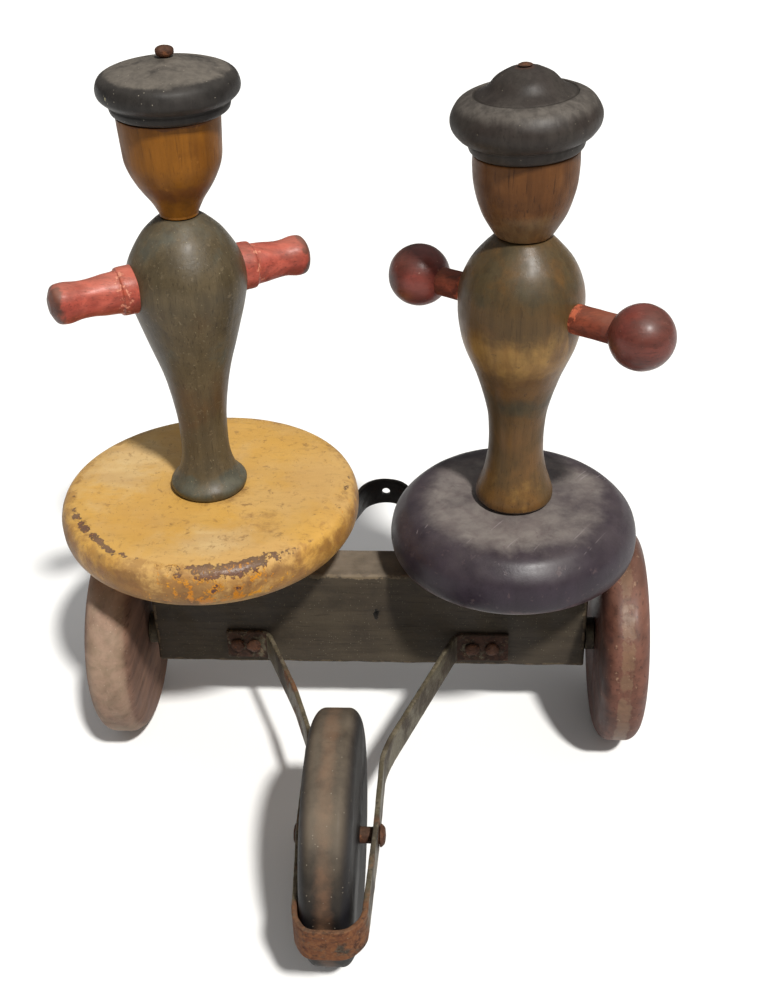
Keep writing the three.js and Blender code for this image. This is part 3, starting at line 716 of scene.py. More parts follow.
# purple disc: satin, dusty round the figure's foot, darker round the edge
purpleDisc = {
    "x": 60.1,
    "underside": 91.6, "bore": 3.3,
    "crown": 23.75,
    "rim": [(46.5, 0), (48.6, 1.5), (49.7, 4.5), (49.85, 9), (48.5, 14.5), (45.2, 19), (41, 22.2),
            (33, 23.6)],
    "look": {
        "paint": (42, 34, 43), "second": (52, 42, 51), "mottleScale": 34.0, "mottle": (0.36, 0.66),
        "grain": 0.22, "grainScale": 150.0, "along": (1.0, 1.0, 0.2), "pores": 0.2, "dust": (120, 110, 106),
        "dustAmount": 0.22, "rough": (0.3, 0.46), "sheen": 0.1, "bump": 0.22, "scratches": 0.55,
        "scratchTone": (150, 138, 140),
        "layers": [
            {"zone": "dusty", "scale": 46, "amount": 0.1, "reach": 0.58, "soft": 0.26, "cover": 0.82,
             "tone": (139, 131, 124), "dark": (116, 106, 102), "rough": 0.66},
            # painted light: a lighter, redder band on the lowest edge of the rim
            {"zone": "under", "scale": 90, "amount": 0.1, "reach": 0.5, "soft": 0.14, "cover": 0.5,
             "tone": (112, 88, 90)},
            {"scale": 240, "amount": 0.36, "soft": 0.03, "cover": 0.5, "tone": (84, 68, 70), "lift": -0.4},
        ],
    },
}


def purpleDusty(bearing, radius, height):
    if height < 100:
        return 0.0
    return (1 - ramp(radius, 30, 46)) * (0.8 + 0.2 * bump01(bearing, -90, 60))


purplePaint = makeFinish("purplePaint", purpleDisc["look"])
# the under zone paints light on the lowest edge of the rim
discMade("purple_disc", purpleDisc, purplePaint, sides=160, wobble=0.15, zones={
    "dusty": purpleDusty, "under": lambda b, r, h: 1 - ramp(h, 92, 98)})
print("discs made")

# left figure
leftFigure = {
    "x": -63.4, "armHeight": 210.5, "armYaw": 29, "capShift": 1,
    "armRoot": 22, "armEnd": 57.2, "armReach": {"near": 51.8, "far": 48.8},
    "body": [(15, 121.6), (15.1, 124), (11.7, 128.5), (9.7, 136), (9.4, 146), (10, 156), (12.6, 171.5),
             (17.3, 188), (21.4, 203), (22.35, 211), (20.6, 219), (15.3, 228), (9.8, 233.4)],
    "foot": (14.2, 120.35), "neck": (7.6, 235),
    "head": [(7.1, 236.4), (9.4, 241), (14, 248), (17, 255), (17.7, 262), (18.2, 271.6)],
    "headEnds": (235.35, 271.95),
    "cap": [(18.6, 272.35), (20.3, 273.3), (21, 275), (20.9, 276.1), (21.1, 276.6), (22.4, 277.2),
            (24.5, 279.4), (24.65, 282.4), (22.9, 285.3), (17.8, 287.3), (10, 289), (4, 290.4)],
    "capTop": 290.65,
    "arm": [(8.95, 22.2), (8.8, 26.2), (7.9, 27.6), (7.5, 33), (6.9, 39), (6.85, 44), (7.5, 50),
            (6.7, 54.4), (3, 56.8)],
    "bodyLook": {
        "paint": (79, 67, 46), "second": (94, 80, 56), "mottleScale": 45.0, "grain": 0.3,
        "grainScale": 330.0, "scratches": 0.4, "scratchTone": (130, 118, 92), "pores": 0.5,
        "dust": (140, 130, 112), "dustAmount": 0.2, "rough": (0.34, 0.52), "sheen": 0.12, "bump": 0.3,
        "specks": 0.04, "speckTone": (150, 140, 110),
        "layers": [
            {"zone": "brownish", "scale": 70, "amount": 0.12, "reach": 0.42, "soft": 0.14, "cover": 0.7,
             "tone": (90, 65, 39), "dark": (75, 53, 33)},
            {"zone": "greenish", "scale": 70, "amount": 0.1, "reach": 0.48, "soft": 0.12, "cover": 0.75,
             "tone": (74, 79, 70), "dark": (60, 64, 58)},
            {"zone": "footEdge", "scale": 160, "amount": 0.1, "reach": 0.4, "soft": 0.08, "cover": 0.8,
             "tone": (96, 76, 52), "lift": -0.5},
            {"scale": 80, "amount": 0.44, "soft": 0.16, "cover": 0.45, "tone": (64, 56, 40)},
            {"scale": 480, "amount": 0.38, "soft": 0.04, "cover": 0.45, "tone": (118, 102, 76), "lift": -0.5},
        ],
    },
    "headLook": {
        "paint": (134, 83, 18), "second": (120, 72, 14), "mottleScale": 60.0, "grain": 0.28,
        "grainScale": 300.0, "pores": 0.3, "dust": (160, 112, 60), "dustAmount": 0.03, "rough": (0.36, 0.5),
        "shine": 0.18, "sheen": 0.04, "bump": 0.16,
        "layers": [
            {"zone": "ring", "scale": 60, "amount": 0.12, "reach": 0.5, "soft": 0.18, "cover": 0.6,
             "tone": (98, 52, 20), "dark": (84, 42, 16)},
            # painted shade on the top of the head, under the cap
            {"zone": "shadeUnderCap", "scale": 160, "amount": 0.1, "reach": 0.5, "soft": 0.06, "cover": 0.75,
             "tone": (84, 48, 26)},
            {"scale": 200, "amount": 0.36, "soft": 0.04, "cover": 0.4, "tone": (162, 104, 44)},
        ],
    },
    "capLook": {
        "paint": (41, 38, 36), "second": (52, 48, 45), "mottleScale": 70.0, "grain": 0.3,
        "grainScale": 380.0, "along": (1.0, 1.0, 0.3), "pores": 0.3, "dust": (130, 124, 116),
        "dustAmount": 0.12, "dustScale": 90.0, "rough": (0.42, 0.56), "shine": 0.24, "sheen": 0.02,
        "bump": 0.22, "specks": 0.05, "speckTone": (160, 152, 136),
        "layers": [
            {"zone": "top", "scale": 80, "amount": 0.14, "reach": 0.5, "soft": 0.14, "cover": 0.75,
             "tone": (118, 110, 100), "dark": (100, 93, 85), "rough": 0.68},
            {"zone": "lip", "scale": 120, "amount": 0.1, "reach": 0.42, "soft": 0.1, "cover": 0.6,
             "tone": (112, 106, 94)},
            {"zone": "scrape", "scale": 150, "amount": 0.0, "reach": 0.75, "soft": 0.05,
             "tone": (164, 156, 124), "lift": -0.6},
        ],
    },
    "armLook": {
        "paint": (191, 92, 74), "second": (164, 68, 53), "mottleScale": 90.0, "grain": 0.4,
        "grainScale": 330.0, "along": (0.1, 1.0, 1.0), "pores": 0.5, "dust": (206, 150, 130),
        "dustAmount": 0.26, "rough": (0.36, 0.55), "sheen": 0.12, "bump": 0.42,
        "layers": [
            {"zone": "end", "scale": 130, "amount": 0.08, "reach": 0.56, "soft": 0.1, "cover": 0.9,
             "tone": (84, 54, 42), "dark": (58, 38, 31), "rough": 0.4, "lift": -0.4},
            {"zone": "collar", "scale": 230, "amount": 0.12, "reach": 0.38, "soft": 0.03, "cover": 0.9,
             "tone": (190, 84, 60), "dark": (110, 50, 38), "lift": -1.0},
            {"scale": 120, "amount": 0.4, "soft": 0.12, "cover": 0.55,
             "tone": (136, 60, 46), "dark": (90, 48, 38), "lift": -0.8},
            {"zone": "collar", "scale": 420, "amount": 0.3, "reach": 0.14, "soft": 0.02, "cover": 0.7,
             "tone": (222, 146, 118), "lift": -0.8},
        ],
    },
}


def closedOutline(ends, points, reach=0.7, spans=7):
    bottom, top = ends
    line = [(0, bottom[1]), bottom, *smoothLine(points, spans), top, (0, top[1])]
    return softCorners(line, reach)


def leftFigureMade(f):
    x = f["x"]
    olivePaint = makeFinish("olivePaint", f["bodyLook"])
    amberVarnish = makeFinish("amberVarnish", f["headLook"])
    charcoalPaint = makeFinish("charcoalPaint", f["capLook"])
    redPaint = makeFinish("redPaint", f["armLook"])
    zones = {
        "brownish": lambda b, r, h: max(bump01(h, 160, 22), 0.7 * bump01(h, 203, 9) * bump01(b, 10, 60)),
        "greenish": lambda b, r, h: max(1 - ramp(h, 128, 134), ramp(h, 214, 226) * 0.8,
                                        0.7 * bump01(h, 185, 12)),
        "footEdge": lambda b, r, h: 1 - ramp(h, 121, 123),
    }
    turn("left_body", closedOutline((f["foot"], f["neck"]), f["body"]), olivePaint, upright(x), wobble=0.1,
         zones=zones)
    low, high = f["headEnds"]
    headEnds = ((f["head"][0][0], low), (f["head"][-1][0], high))
    zones = {
        "ring": lambda b, r, h: bump01(h, 246.5, 4.5),
        # painted shade under the cap
        "shadeUnderCap": lambda b, r, h: ramp(h, 269.5, 271.8),
    }
    turn("left_head", closedOutline(headEnds, f["head"]), amberVarnish, upright(x), wobble=0.1, zones=zones)
    outline = [(1.6, f["cap"][0][1]), *smoothLine(f["cap"], 7), (1.6, f["capTop"])]
    zones = {
        "top": lambda b, r, h: ramp(h, 284.6, 286.8) * (0.7 + 0.3 * bump01(r, 18, 8)),
        "lip": lambda b, r, h: bump01(h, 276.3, 0.9) * max(bump01(b, -60, 40), bump01(b, 70, 40)),
        "scrape": lambda b, r, h: bump01(b + (h - 281) * 1.6, -44, 2.6) * bump01(h, 281.4, 2.6),
    }
    turn("left_cap", softCorners(outline, 0.5), charcoalPaint, upright(x + f["capShift"]), bore=1.6,
         wobble=0.12, step=0.7, zones=zones)
    for side, bearing in (("near", f["armYaw"] + 180), ("far", f["armYaw"])):
        root, reach = f["armRoot"], f["armReach"][side]
        squeeze = (reach - root) / (f["armEnd"] - root)
        arm = [(r, root + (h - root) * squeeze) for r, h in f["arm"]]
        tenon = [(0, 12), (4.5, 12), (4.5, 20), (arm[0][0], 20)]
        outline = softCorners([*tenon, *smoothLine(arm, 7), (0, reach - 0.05)], 0.6)
        zones = {
            "end": lambda b, r, h: ramp(h, reach - 9, reach - 1),
            "collar": lambda b, r, h: bump01(h, 26, 3.2),
        }
        turn(f"left_figure_{side}_arm", outline, redPaint, reaching(x, f["armHeight"], bearing), sides=96,
             wobble=0.22, step=0.7, zones=zones)


leftFigureMade(leftFigure)
print("left figure made")

# right figure
rightFigure = {
    "x": 60.1, "armHeight": 200.5, "armYaw": -34.2, "lean": 3, "seat": 258.8,
    "body": [(15.3, 117.4), (15.2, 120.5), (12.6, 128.5), (10.9, 138), (10.8, 148), (12, 158), (16, 172),
             (21.4, 186), (23.45, 199), (22.8, 208.5), (19.2, 217), (13.9, 223.5)],
    "foot": (13.8, 115.75), "neck": (10, 227.4),
    "head": [(11.5, 229.6), (15.6, 237), (18.2, 246), (18.85, 254)],
    "headEnds": (227.75, 258.45), "headLow": 10.2, "headHigh": 18.7,
    "hat": [(19, 258.85), (19.9, 259.8), (20.6, 262), (20.7, 262.9), (21.6, 263.5), (23.6, 264.6),
            (25.8, 267.8), (25.95, 271.6), (23.4, 275.8), (20, 277.7), (18.4, 278.1), (17.8, 277.8),
            (17.1, 278.1), (13.4, 280.3), (10.2, 283.6), (5.8, 286)],
    "hatTop": 286.85,
    "stick": {"radius": 5.45, "inner": 9, "intoBall": 3.5},
    "ball": {"radius": 11.95, "reach": {"near": 49.9, "far": 46.3}},
    "bodyLook": {
        "paint": (105, 73, 36), "second": (84, 63, 34), "mottleScale": 42.0, "grain": 0.2,
        "grainScale": 330.0, "pores": 0.3, "dust": (130, 118, 92), "dustAmount": 0.12,
        "rough": (0.32, 0.48), "sheen": 0.1, "bump": 0.26,
        "layers": [
            # golden paint band and foot, plus painted light in the same tone on the right side, which faces
            # the key
            {"zone": "goldenBandAndLitRight", "scale": 60, "amount": 0.12, "reach": 0.48, "soft": 0.22, "cover": 0.85,
             "tone": (165, 127, 67), "dark": (142, 104, 53)},
            {"zone": "greenish", "scale": 60, "amount": 0.12, "reach": 0.46, "soft": 0.16, "cover": 0.75,
             "tone": (68, 62, 44), "dark": (53, 49, 35)},
            {"scale": 300, "amount": 0.36, "soft": 0.02, "cover": 0.5, "tone": (64, 46, 28), "lift": -0.5},
        ],
    },
    "headLook": {
        "paint": (113, 71, 33), "second": (95, 58, 27), "mottleScale": 55.0, "grain": 0.36,
        "grainScale": 300.0, "pores": 0.5, "dust": (150, 124, 96), "dustAmount": 0.06, "rough": (0.36, 0.5),
        "shine": 0.2, "sheen": 0.06, "bump": 0.24,
        "layers": [
            {"zone": "lower", "scale": 60, "amount": 0.1, "reach": 0.42, "soft": 0.16, "cover": 0.6,
             "tone": (110, 92, 64), "dark": (92, 74, 52)},
            {"scale": 220, "amount": 0.36, "soft": 0.04, "cover": 0.5, "tone": (66, 42, 27), "lift": -0.3},
        ],
    },
    "hatLook": {
        "paint": (54, 47, 43), "second": (60, 54, 49), "mottleScale": 60.0, "grain": 0.35,
        "grainScale": 360.0, "along": (1.0, 1.0, 0.3), "pores": 0.35, "dust": (104, 98, 92),
        "dustAmount": 0.1, "dustScale": 80.0, "rough": (0.42, 0.56), "shine": 0.24, "sheen": 0.03,
        "bump": 0.24, "specks": 0.03, "speckTone": (130, 122, 104),
        "layers": [
            {"zone": "dusty", "scale": 70, "amount": 0.12, "reach": 0.44, "soft": 0.3, "cover": 0.62,
             "tone": (122, 115, 107), "dark": (92, 86, 80), "rough": 0.6},
            {"zone": "groove", "scale": 90, "amount": 0.1, "reach": 0.55, "soft": 0.1, "cover": 0.85,
             "tone": (42, 37, 32), "lift": -0.5},
            {"zone": "peak", "scale": 150, "amount": 0.05, "reach": 0.55, "soft": 0.1, "cover": 0.5,
             "tone": (88, 58, 48), "lift": -0.3},
        ],
    },
    "stickLook": {
        "paint": (132, 61, 39), "second": (112, 48, 32), "mottleScale": 90.0, "grain": 0.5,
        "grainScale": 420.0, "along": (0.1, 1.0, 1.0), "pores": 0.5, "dust": (210, 150, 120),
        "dustAmount": 0.14, "rough": (0.5, 0.68), "bump": 0.4,
        "layers": [
            {"zone": "inner", "scale": 260, "amount": 0.1, "reach": 0.45, "soft": 0.05, "cover": 0.85,
             "tone": (196, 100, 66), "dark": (172, 80, 52), "lift": 0.4},
            {"zone": "outer", "scale": 160, "amount": 0.12, "reach": 0.42, "soft": 0.08, "cover": 0.7,
             "tone": (112, 60, 48)},
        ],
    },
    "ballLook": {
        "paint": (111, 53, 43), "second": (92, 45, 36), "mottleScale": 70.0, "grain": 0.4,
        "grainScale": 300.0, "along": (0.14, 1.0, 1.0), "pores": 0.45, "dust": (140, 104, 92),
        "dustAmount": 0.2, "rough": (0.3, 0.46), "sheen": 0.25, "bump": 0.36,
        "layers": [
            {"zone": "front", "scale": 50, "amount": 0.1, "reach": 0.42, "soft": 0.2, "cover": 0.7,
             "tone": (140, 66, 58), "dark": (118, 54, 48)},
            {"scale": 200, "amount": 0.37, "soft": 0.05, "cover": 0.6, "tone": (80, 44, 39), "lift": -0.2},
            {"scale": 520, "amount": 0.33, "soft": 0.02, "cover": 0.8, "tone": (176, 132, 112), "lift": -0.8},
        ],
    },
}


def rightFigureMade(f):
    x = f["x"]
    tanPaint = makeFinish("tanPaint", f["bodyLook"])
    brownVarnish = makeFinish("brownVarnish", f["headLook"])
    greyBrownPaint = makeFinish("greyBrownPaint", f["hatLook"])
    orangeRedPaint = makeFinish("orangeRedPaint", f["stickLook"])
    maroonPaint = makeFinish("maroonPaint", f["ballLook"])
    zones = {
        # golden band and foot are paint; the bearing-90 term is painted light on the side facing the key
        "goldenBandAndLitRight": lambda b, r, h: max(bump01(h, 186, 12), 0.35 - 0.35 * ramp(h, 134, 148),
                                      0.6 * bump01(b, 90, 40) * ramp(h, 170, 190)),
        "greenish": lambda b, r, h: max(ramp(h, 196, 212) * 0.9, bump01(h, 163, 8)),
    }
    turn("right_body", closedOutline((f["foot"], f["neck"]), f["body"], 1.2), tanPaint, upright(x),
         wobble=0.12, zones=zones)
    low, high = f["headEnds"]
    zones = {"lower": lambda b, r, h: 1 - ramp(h, 236, 246)}
    headEnds = ((f["headLow"], low), (f["headHigh"], high))
    turn("right_head", closedOutline(headEnds, f["head"]), brownVarnish, upright(x), wobble=0.1, zones=zones,
         slope=f["lean"])
    outline = [(1.6, f["hat"][0][1]), *smoothLine(f["hat"], 6), (1.6, f["hatTop"])]
    zones = {
        "dusty": lambda b, r, h: ramp(h, 272, 276.5) * ramp(r, 15, 19.5),
        "groove": lambda b, r, h: bump01(r, 17.6, 0.8) * ramp(h, 276, 277.5),
        "peak": lambda b, r, h: (1 - ramp(r, 2.5, 6)) * ramp(h, 282.5, 284.5),
    }
    where = leaning(x, f["seat"], f["lean"])
    turn("right_hat", softCorners(outline, 0.5), greyBrownPaint, where, bore=1.6, wobble=0.15, step=0.6,
         zones=zones)
    stick, ball = f["stick"], f["ball"]
    for side, bearing in (("near", f["armYaw"]), ("far", f["armYaw"] + 180)):
        where = reaching(x, f["armHeight"], bearing)
        radius, centre = stick["radius"], ball["reach"][side]
        ends = stick["inner"], centre - stick["intoBall"]
        outline = softCorners([(0, ends[0]), (radius, ends[0]), (radius, ends[1]), (0, ends[1])], 0.5)
        zones = {
            "inner": lambda b, r, h: 1 - ramp(h, 24, 31),
            "outer": lambda b, r, h: ramp(h, 31, 38),
        }
        turn(f"right_figure_{side}_stick", outline, orangeRedPaint, where, sides=72, wobble=0.2, zones=zones)
        outline = []
        for degrees in range(-90, 91, 4):
            angle = math.radians(degrees)
            outline.append((ball["radius"] * math.cos(angle), centre + ball["radius"] * math.sin(angle)))
        outline[0], outline[-1] = (0, outline[0][1]), (0, centre + ball["radius"])
        zones = {"front": lambda b, r, h: 1 - ramp(h, centre - 4, centre + 8)}
        turn(f"right_figure_{side}_ball", outline, maroonPaint, where, sides=120, wobble=0.16, zones=zones)


rightFigureMade(rightFigure)
print("right figure made")

# wheels
wheelShape = {"rear": {"radius": 45.4, "thickness": 19, "tread": 6, "shoulder": 9, "bore": 3.1},
              "front": {"radius": 45.3, "thickness": 18.2, "tread": 8.6, "shoulder": 8.5, "bore": 3.3}}
rearWheels = {
    "height": 45.4265,
    "offset": 105.95,
    "leftLook": {
        "paint": (124, 92, 76), "second": (138, 106, 88), "mottleScale": 32.0, "grain": 0.45,
        "grainScale": 170.0, "along": (1.0, 0.08, 1.0), "pores": 0.5, "dust": (150, 130, 116),
        "dustAmount": 0.2, "rough": (0.6, 0.8), "bump": 0.36, "specks": 0.1, "speckTone": (176, 160, 142),
        "layers": [
            {"zone": "rimBand", "scale": 70, "amount": 0.12, "reach": 0.5, "soft": 0.3, "cover": 0.7,
             "tone": (162, 138, 118), "dark": (146, 126, 104), "rough": 0.55, "lift": -0.5},
            {"scale": 60, "amount": 0.37, "soft": 0.12, "cover": 0.5, "tone": (96, 70, 60)},
            {"zone": "edge", "scale": 260, "amount": 0.14, "reach": 0.3, "soft": 0.03, "cover": 0.7,
             "tone": (150, 126, 104), "lift": -0.8},
        ],
    },
    "rightLook": {
        "paint": (97, 58, 45), "second": (112, 72, 58), "mottleScale": 40.0, "grain": 0.45,
        "grainScale": 170.0, "along": (1.0, 0.08, 1.0), "pores": 0.5, "dust": (152, 124, 106),
        "dustAmount": 0.14, "rough": (0.42, 0.62), "sheen": 0.1, "bump": 0.36, "specks": 0.05,
        "speckTone": (170, 140, 116),
        "layers": [
            {"zone": "tread", "scale": 130, "amount": 0.16, "reach": 0.4, "soft": 0.07, "cover": 0.9,
             "tone": (121, 91, 70), "dark": (106, 79, 61), "rough": 0.42, "lift": -0.6},
            {"zone": "innerBevel", "scale": 70, "amount": 0.12, "reach": 0.42, "soft": 0.14, "cover": 0.75,
             "tone": (70, 34, 28), "dark": (54, 27, 24)},
            {"scale": 240, "amount": 0.36, "soft": 0.02, "cover": 0.6, "tone": (160, 130, 104), "lift": -1.0},
        ],
    },
}
frontWheel = {
    "x": -5.6, "y": -117.5, "height": 45.3269,
    "look": {
        "paint": (26, 24, 24), "second": (38, 35, 33), "mottleScale": 40.0, "grain": 0.3,
        "grainScale": 220.0, "along": (1.0, 0.1, 1.0), "pores": 0.35, "dust": (150, 134, 114),
        # dust on the upward faces, set high so it also paints the light on the wheel's top
        "dustAmount": 0.42, "dustScale": 60.0, "rough": (0.48, 0.64), "shine": 0.18, "sheen": 0.02,
        "bump": 0.3, "specks": 0.05, "speckTone": (150, 140, 124),
        "layers": [
            {"zone": "shoulder", "scale": 60, "amount": 0.1, "reach": 0.45, "soft": 0.14, "cover": 0.7,
             "tone": (24, 24, 30)},
            {"zone": "band", "scale": 90, "amount": 0.06, "reach": 0.6, "soft": 0.3, "cover": 0.95,
             "tone": (100, 73, 55), "dark": (82, 62, 48), "rough": 0.6, "lift": -0.8},
            {"zone": "cracks", "scale": 300, "amount": 0.0, "reach": 0.62, "soft": 0.04, "cover": 0.6,
             "tone": (70, 52, 38), "lift": -1.4},
        ],
    },
}


def wheelOutline(shape):
    face = shape["thickness"] / 2
    half = shape["tread"] / 2
    drop = face - half
    curve = []
    for step in range(0, 13):
        angle = math.radians(90 * step / 12)
        curve.append((shape["radius"] - shape["shoulder"] * (1 - math.cos(angle)),
                      half + drop * math.sin(angle)))
    lower = [(r, -h) for r, h in reversed(curve)]
    return softCorners([(shape["bore"], -face), *lower, *curve, (shape["bore"], face)], 0.7, 40)


def wheelZones(shape):
    half, full = shape["tread"] / 2, shape["radius"]
    return {
        "tread": lambda b, r, h: ramp(r, full - 1.2, full - 0.1) * (1 - ramp(abs(h), half - 0.6, half + 0.8)),
        "shoulder": lambda b, r, h: bump01(abs(h), half + 3.2, 2.4) * ramp(r, 36, 40),
        "rimBand": lambda b, r, h: ramp(r, 40, 44),
        "band": lambda b, r, h: bump01(h, 0, half * 0.85) * ramp(r, full - 3, full - 0.4),
        "innerBevel": lambda b, r, h: ramp(-h, half + 0.5, half + 4),
        "cracks": lambda b, r, h: ramp(r, 44, 45) * (1 - ramp(abs(h), 3, 5)) * (
            0.5 + 0.5 * noise.noise(Vector((b * 0.55, h * 0.1, 4.0)))) ** 3 * 1.6,
    }


def wheelMade(node, kind, finish, centre, seed):
    shape = wheelShape[kind]
    turn(node, wheelOutline(shape), finish, lying(*centre), bore=shape["bore"], sides=180, wobble=0.14,
         seed=seed, step=1.2, zones=wheelZones(shape))


mauvePaint = makeFinish("mauvePaint", rearWheels["leftLook"])
redBrownPaint = makeFinish("redBrownPaint", rearWheels["rightLook"])
blackPaint = makeFinish("blackPaint", frontWheel["look"])
wheelMade("left_wheel", "rear", mauvePaint, (-rearWheels["offset"], 0, rearWheels["height"]), 5)
wheelMade("right_wheel", "rear", redBrownPaint, (rearWheels["offset"], 0, rearWheels["height"]), 9)
wheelMade("front_wheel", "front", blackPaint, (frontWheel["x"], frontWheel["y"], frontWheel["height"]), 3)
print("wheels made")

# cross board: worn corners, a small split in the front face
board = {
    "half": (92.25, 9.5, 23.65), "top": 81.5, "corner": 1.1, "step": 2.2,
    "split": {"x": 3.2, "z": 60.5, "half": (0.7, 3.0), "depth": 2.2},
    "look": {
        "paint": (67, 58, 47), "second": (76, 67, 54), "mottleScale": 36.0, "grain": 0.3,
        "grainScale": 260.0, "along": (0.07, 1.0, 1.0), "pores": 0.35, "dust": (142, 128, 112),
        "dustAmount": 0.6, "dustScale": 70.0, "rough": (0.62, 0.82), "bump": 0.5, "specks": 0.22,
        "speckTone": (120, 112, 92), "marks": 0.0,
        "layers": [
            {"scale": 60, "amount": 0.38, "soft": 0.12, "cover": 0.6, "tone": (46, 40, 33)},
            {"zone": "edge", "scale": 240, "amount": 0.08, "reach": 0.42, "soft": 0.04, "cover": 0.75,
             "tone": (120, 104, 82), "dark": (92, 80, 62), "lift": -0.8},
            {"zone": "scuff", "scale": 120, "amount": 0.1, "reach": 0.45, "soft": 0.06, "cover": 0.8,
             "tone": (124, 112, 88), "dark": (96, 86, 68), "lift": -0.4},
            {"zone": "split", "scale": 300, "amount": 0.2, "reach": 0.7, "soft": 0.05, "tone": (22, 19, 16),
             "lift": -1.0},
        ],
    },
}


def boardLines(half, corner, step):
    flat = half - corner
    count = max(2, math.ceil(2 * flat / step))
    inner = [-flat + 2 * flat * k / count for k in range(count + 1)]
    edge = [half - corner * (1 - math.sin(math.radians(a))) for a in (22.5, 45, 67.5, 90)]
    return [-e for e in reversed(edge)] + inner + edge


def boardMade(b):
    half, corner = b["half"], b["corner"]
    lines = [boardLines(h, corner, b["step"]) for h in half]
    work = bmesh.new()
    shell = {}
    counts = [len(line) for line in lines]

    def corner3(index):
        if index not in shell:
            shell[index] = work.verts.new([lines[axis][index[axis]] for axis in range(3)])
        return shell[index]

    for axis in range(3):
        u, v = (axis + 1) % 3, (axis + 2) % 3
        for end in (0, counts[axis] - 1):
            for i in range(counts[u] - 1):
                for j in range(counts[v] - 1):
                    corners = []
                    for di, dj in ((0, 0), (1, 0), (1, 1), (0, 1)):
                        index = [0, 0, 0]
                        index[axis], index[u], index[v] = end, i + di, j + dj
                        corners.append(corner3(tuple(index)))
                    work.faces.new(corners)
    bmesh.ops.recalc_face_normals(work, faces=work.faces)
    split = b["split"]
    zones = {"edge": [], "scuff": [], "split": []}
    middleZ = b["top"] - half[2]
    for vertex in work.verts:
        point = vertex.co.copy()
        inner = Vector([min(max(c, -(h - corner)), h - corner) for c, h in zip(point, half)])
        away = point - inner
        near = sum(1 for c, h in zip(point, half) if abs(c) > h - corner * 1.6)
        rounded = inner + away.normalized() * corner if away.length > 1e-6 else point
        wear = 0.5 + 0.5 * noise.noise(point * 0.09)
        dents = noise.noise(point * 0.35 + Vector((9, 4, 2))) * 0.06 + noise.noise(point * 0.05) * 0.1
        pull = (rounded - Vector((point.x * 0.9, 0, 0))).normalized()
        rounded -= pull * (max(0.0, wear - 0.45) * 1.1 * (near > 1) + 0.12 + dents)
        across = point.z + middleZ - split["z"]
        lean = point.x - split["x"] - across * 0.12
        hole = max(0.0, 1 - abs(lean) / split["half"][0]) * max(0.0, 1 - (across / split["half"][1]) ** 2)
        front = point.y < -half[1] + 0.01
        if front:
            rounded.y += hole * split["depth"]
        vertex.co = rounded
        zones["edge"].append(1.0 if near > 1 else 0.0)
        low = bump01(point.z, -half[2], 3.0) * ramp(-point.y, 4, 9.5)
        zones["scuff"].append(low * max(bump01(point.x, -72, 14), 0.4 * bump01(point.x, 20, 50)))
        zones["split"].append(bump01(lean, 0, 0.9) * bump01(across, 0, 2.6) if front else 0.0)
    mesh = bpy.data.meshes.new("boardMesh")
    work.to_mesh(mesh)
    work.free()
    for key, values in zones.items():
        writeZone(mesh, key, values)
    mesh.transform(Matrix.Translation(spot(0, 0, middleZ)) @ Matrix.Scale(mm, 4))
    return mesh


beamPaint = makeFinish("boardPaint", board["look"])
standFor(newPiece("crossBoard", boardMade(board), beamPaint, 50), "beam")
print("board made")


# straps: a bent bar with softened edges, swept along a path seen from above
def bentPath(corners, reach, steps):
    path = [corners[0]]
    for before, here, after in zip(corners, corners[1:], corners[2:]):
        back = min(reach, math.dist(before, here) * 0.45, math.dist(after, here) * 0.45)
        start = [h + (b - h) * back / math.dist(before, here) for h, b in zip(here, before)]
        end = [h + (a - h) * back / math.dist(after, here) for h, a in zip(here, after)]
        for k in range(steps + 1):
            path.append(onBend(start, here, end, k / steps))
    path.append(corners[-1])
    return path


def strapSection(thickness, width, corner):  # one side and its two corners, then the same turned half round
    half, tall = thickness / 2, width / 2
    side = [(half, z) for z in evenlySpread(-tall + corner, tall - corner, 8)]
    for degrees in (30, 60, 90):
        angle = math.radians(degrees)
        side.append((half - corner + corner * math.cos(angle), tall - corner + corner * math.sin(angle)))
    for degrees in (90, 60, 30):
        angle = math.radians(degrees)
        side.append((-half + corner - corner * math.cos(angle), tall - corner + corner * math.sin(angle)))
    return side + [(-u, -v) for u, v in side]


def evenlySpread(start, end, count):
    return [start + (end - start) * k / (count - 1) for k in range(count)]


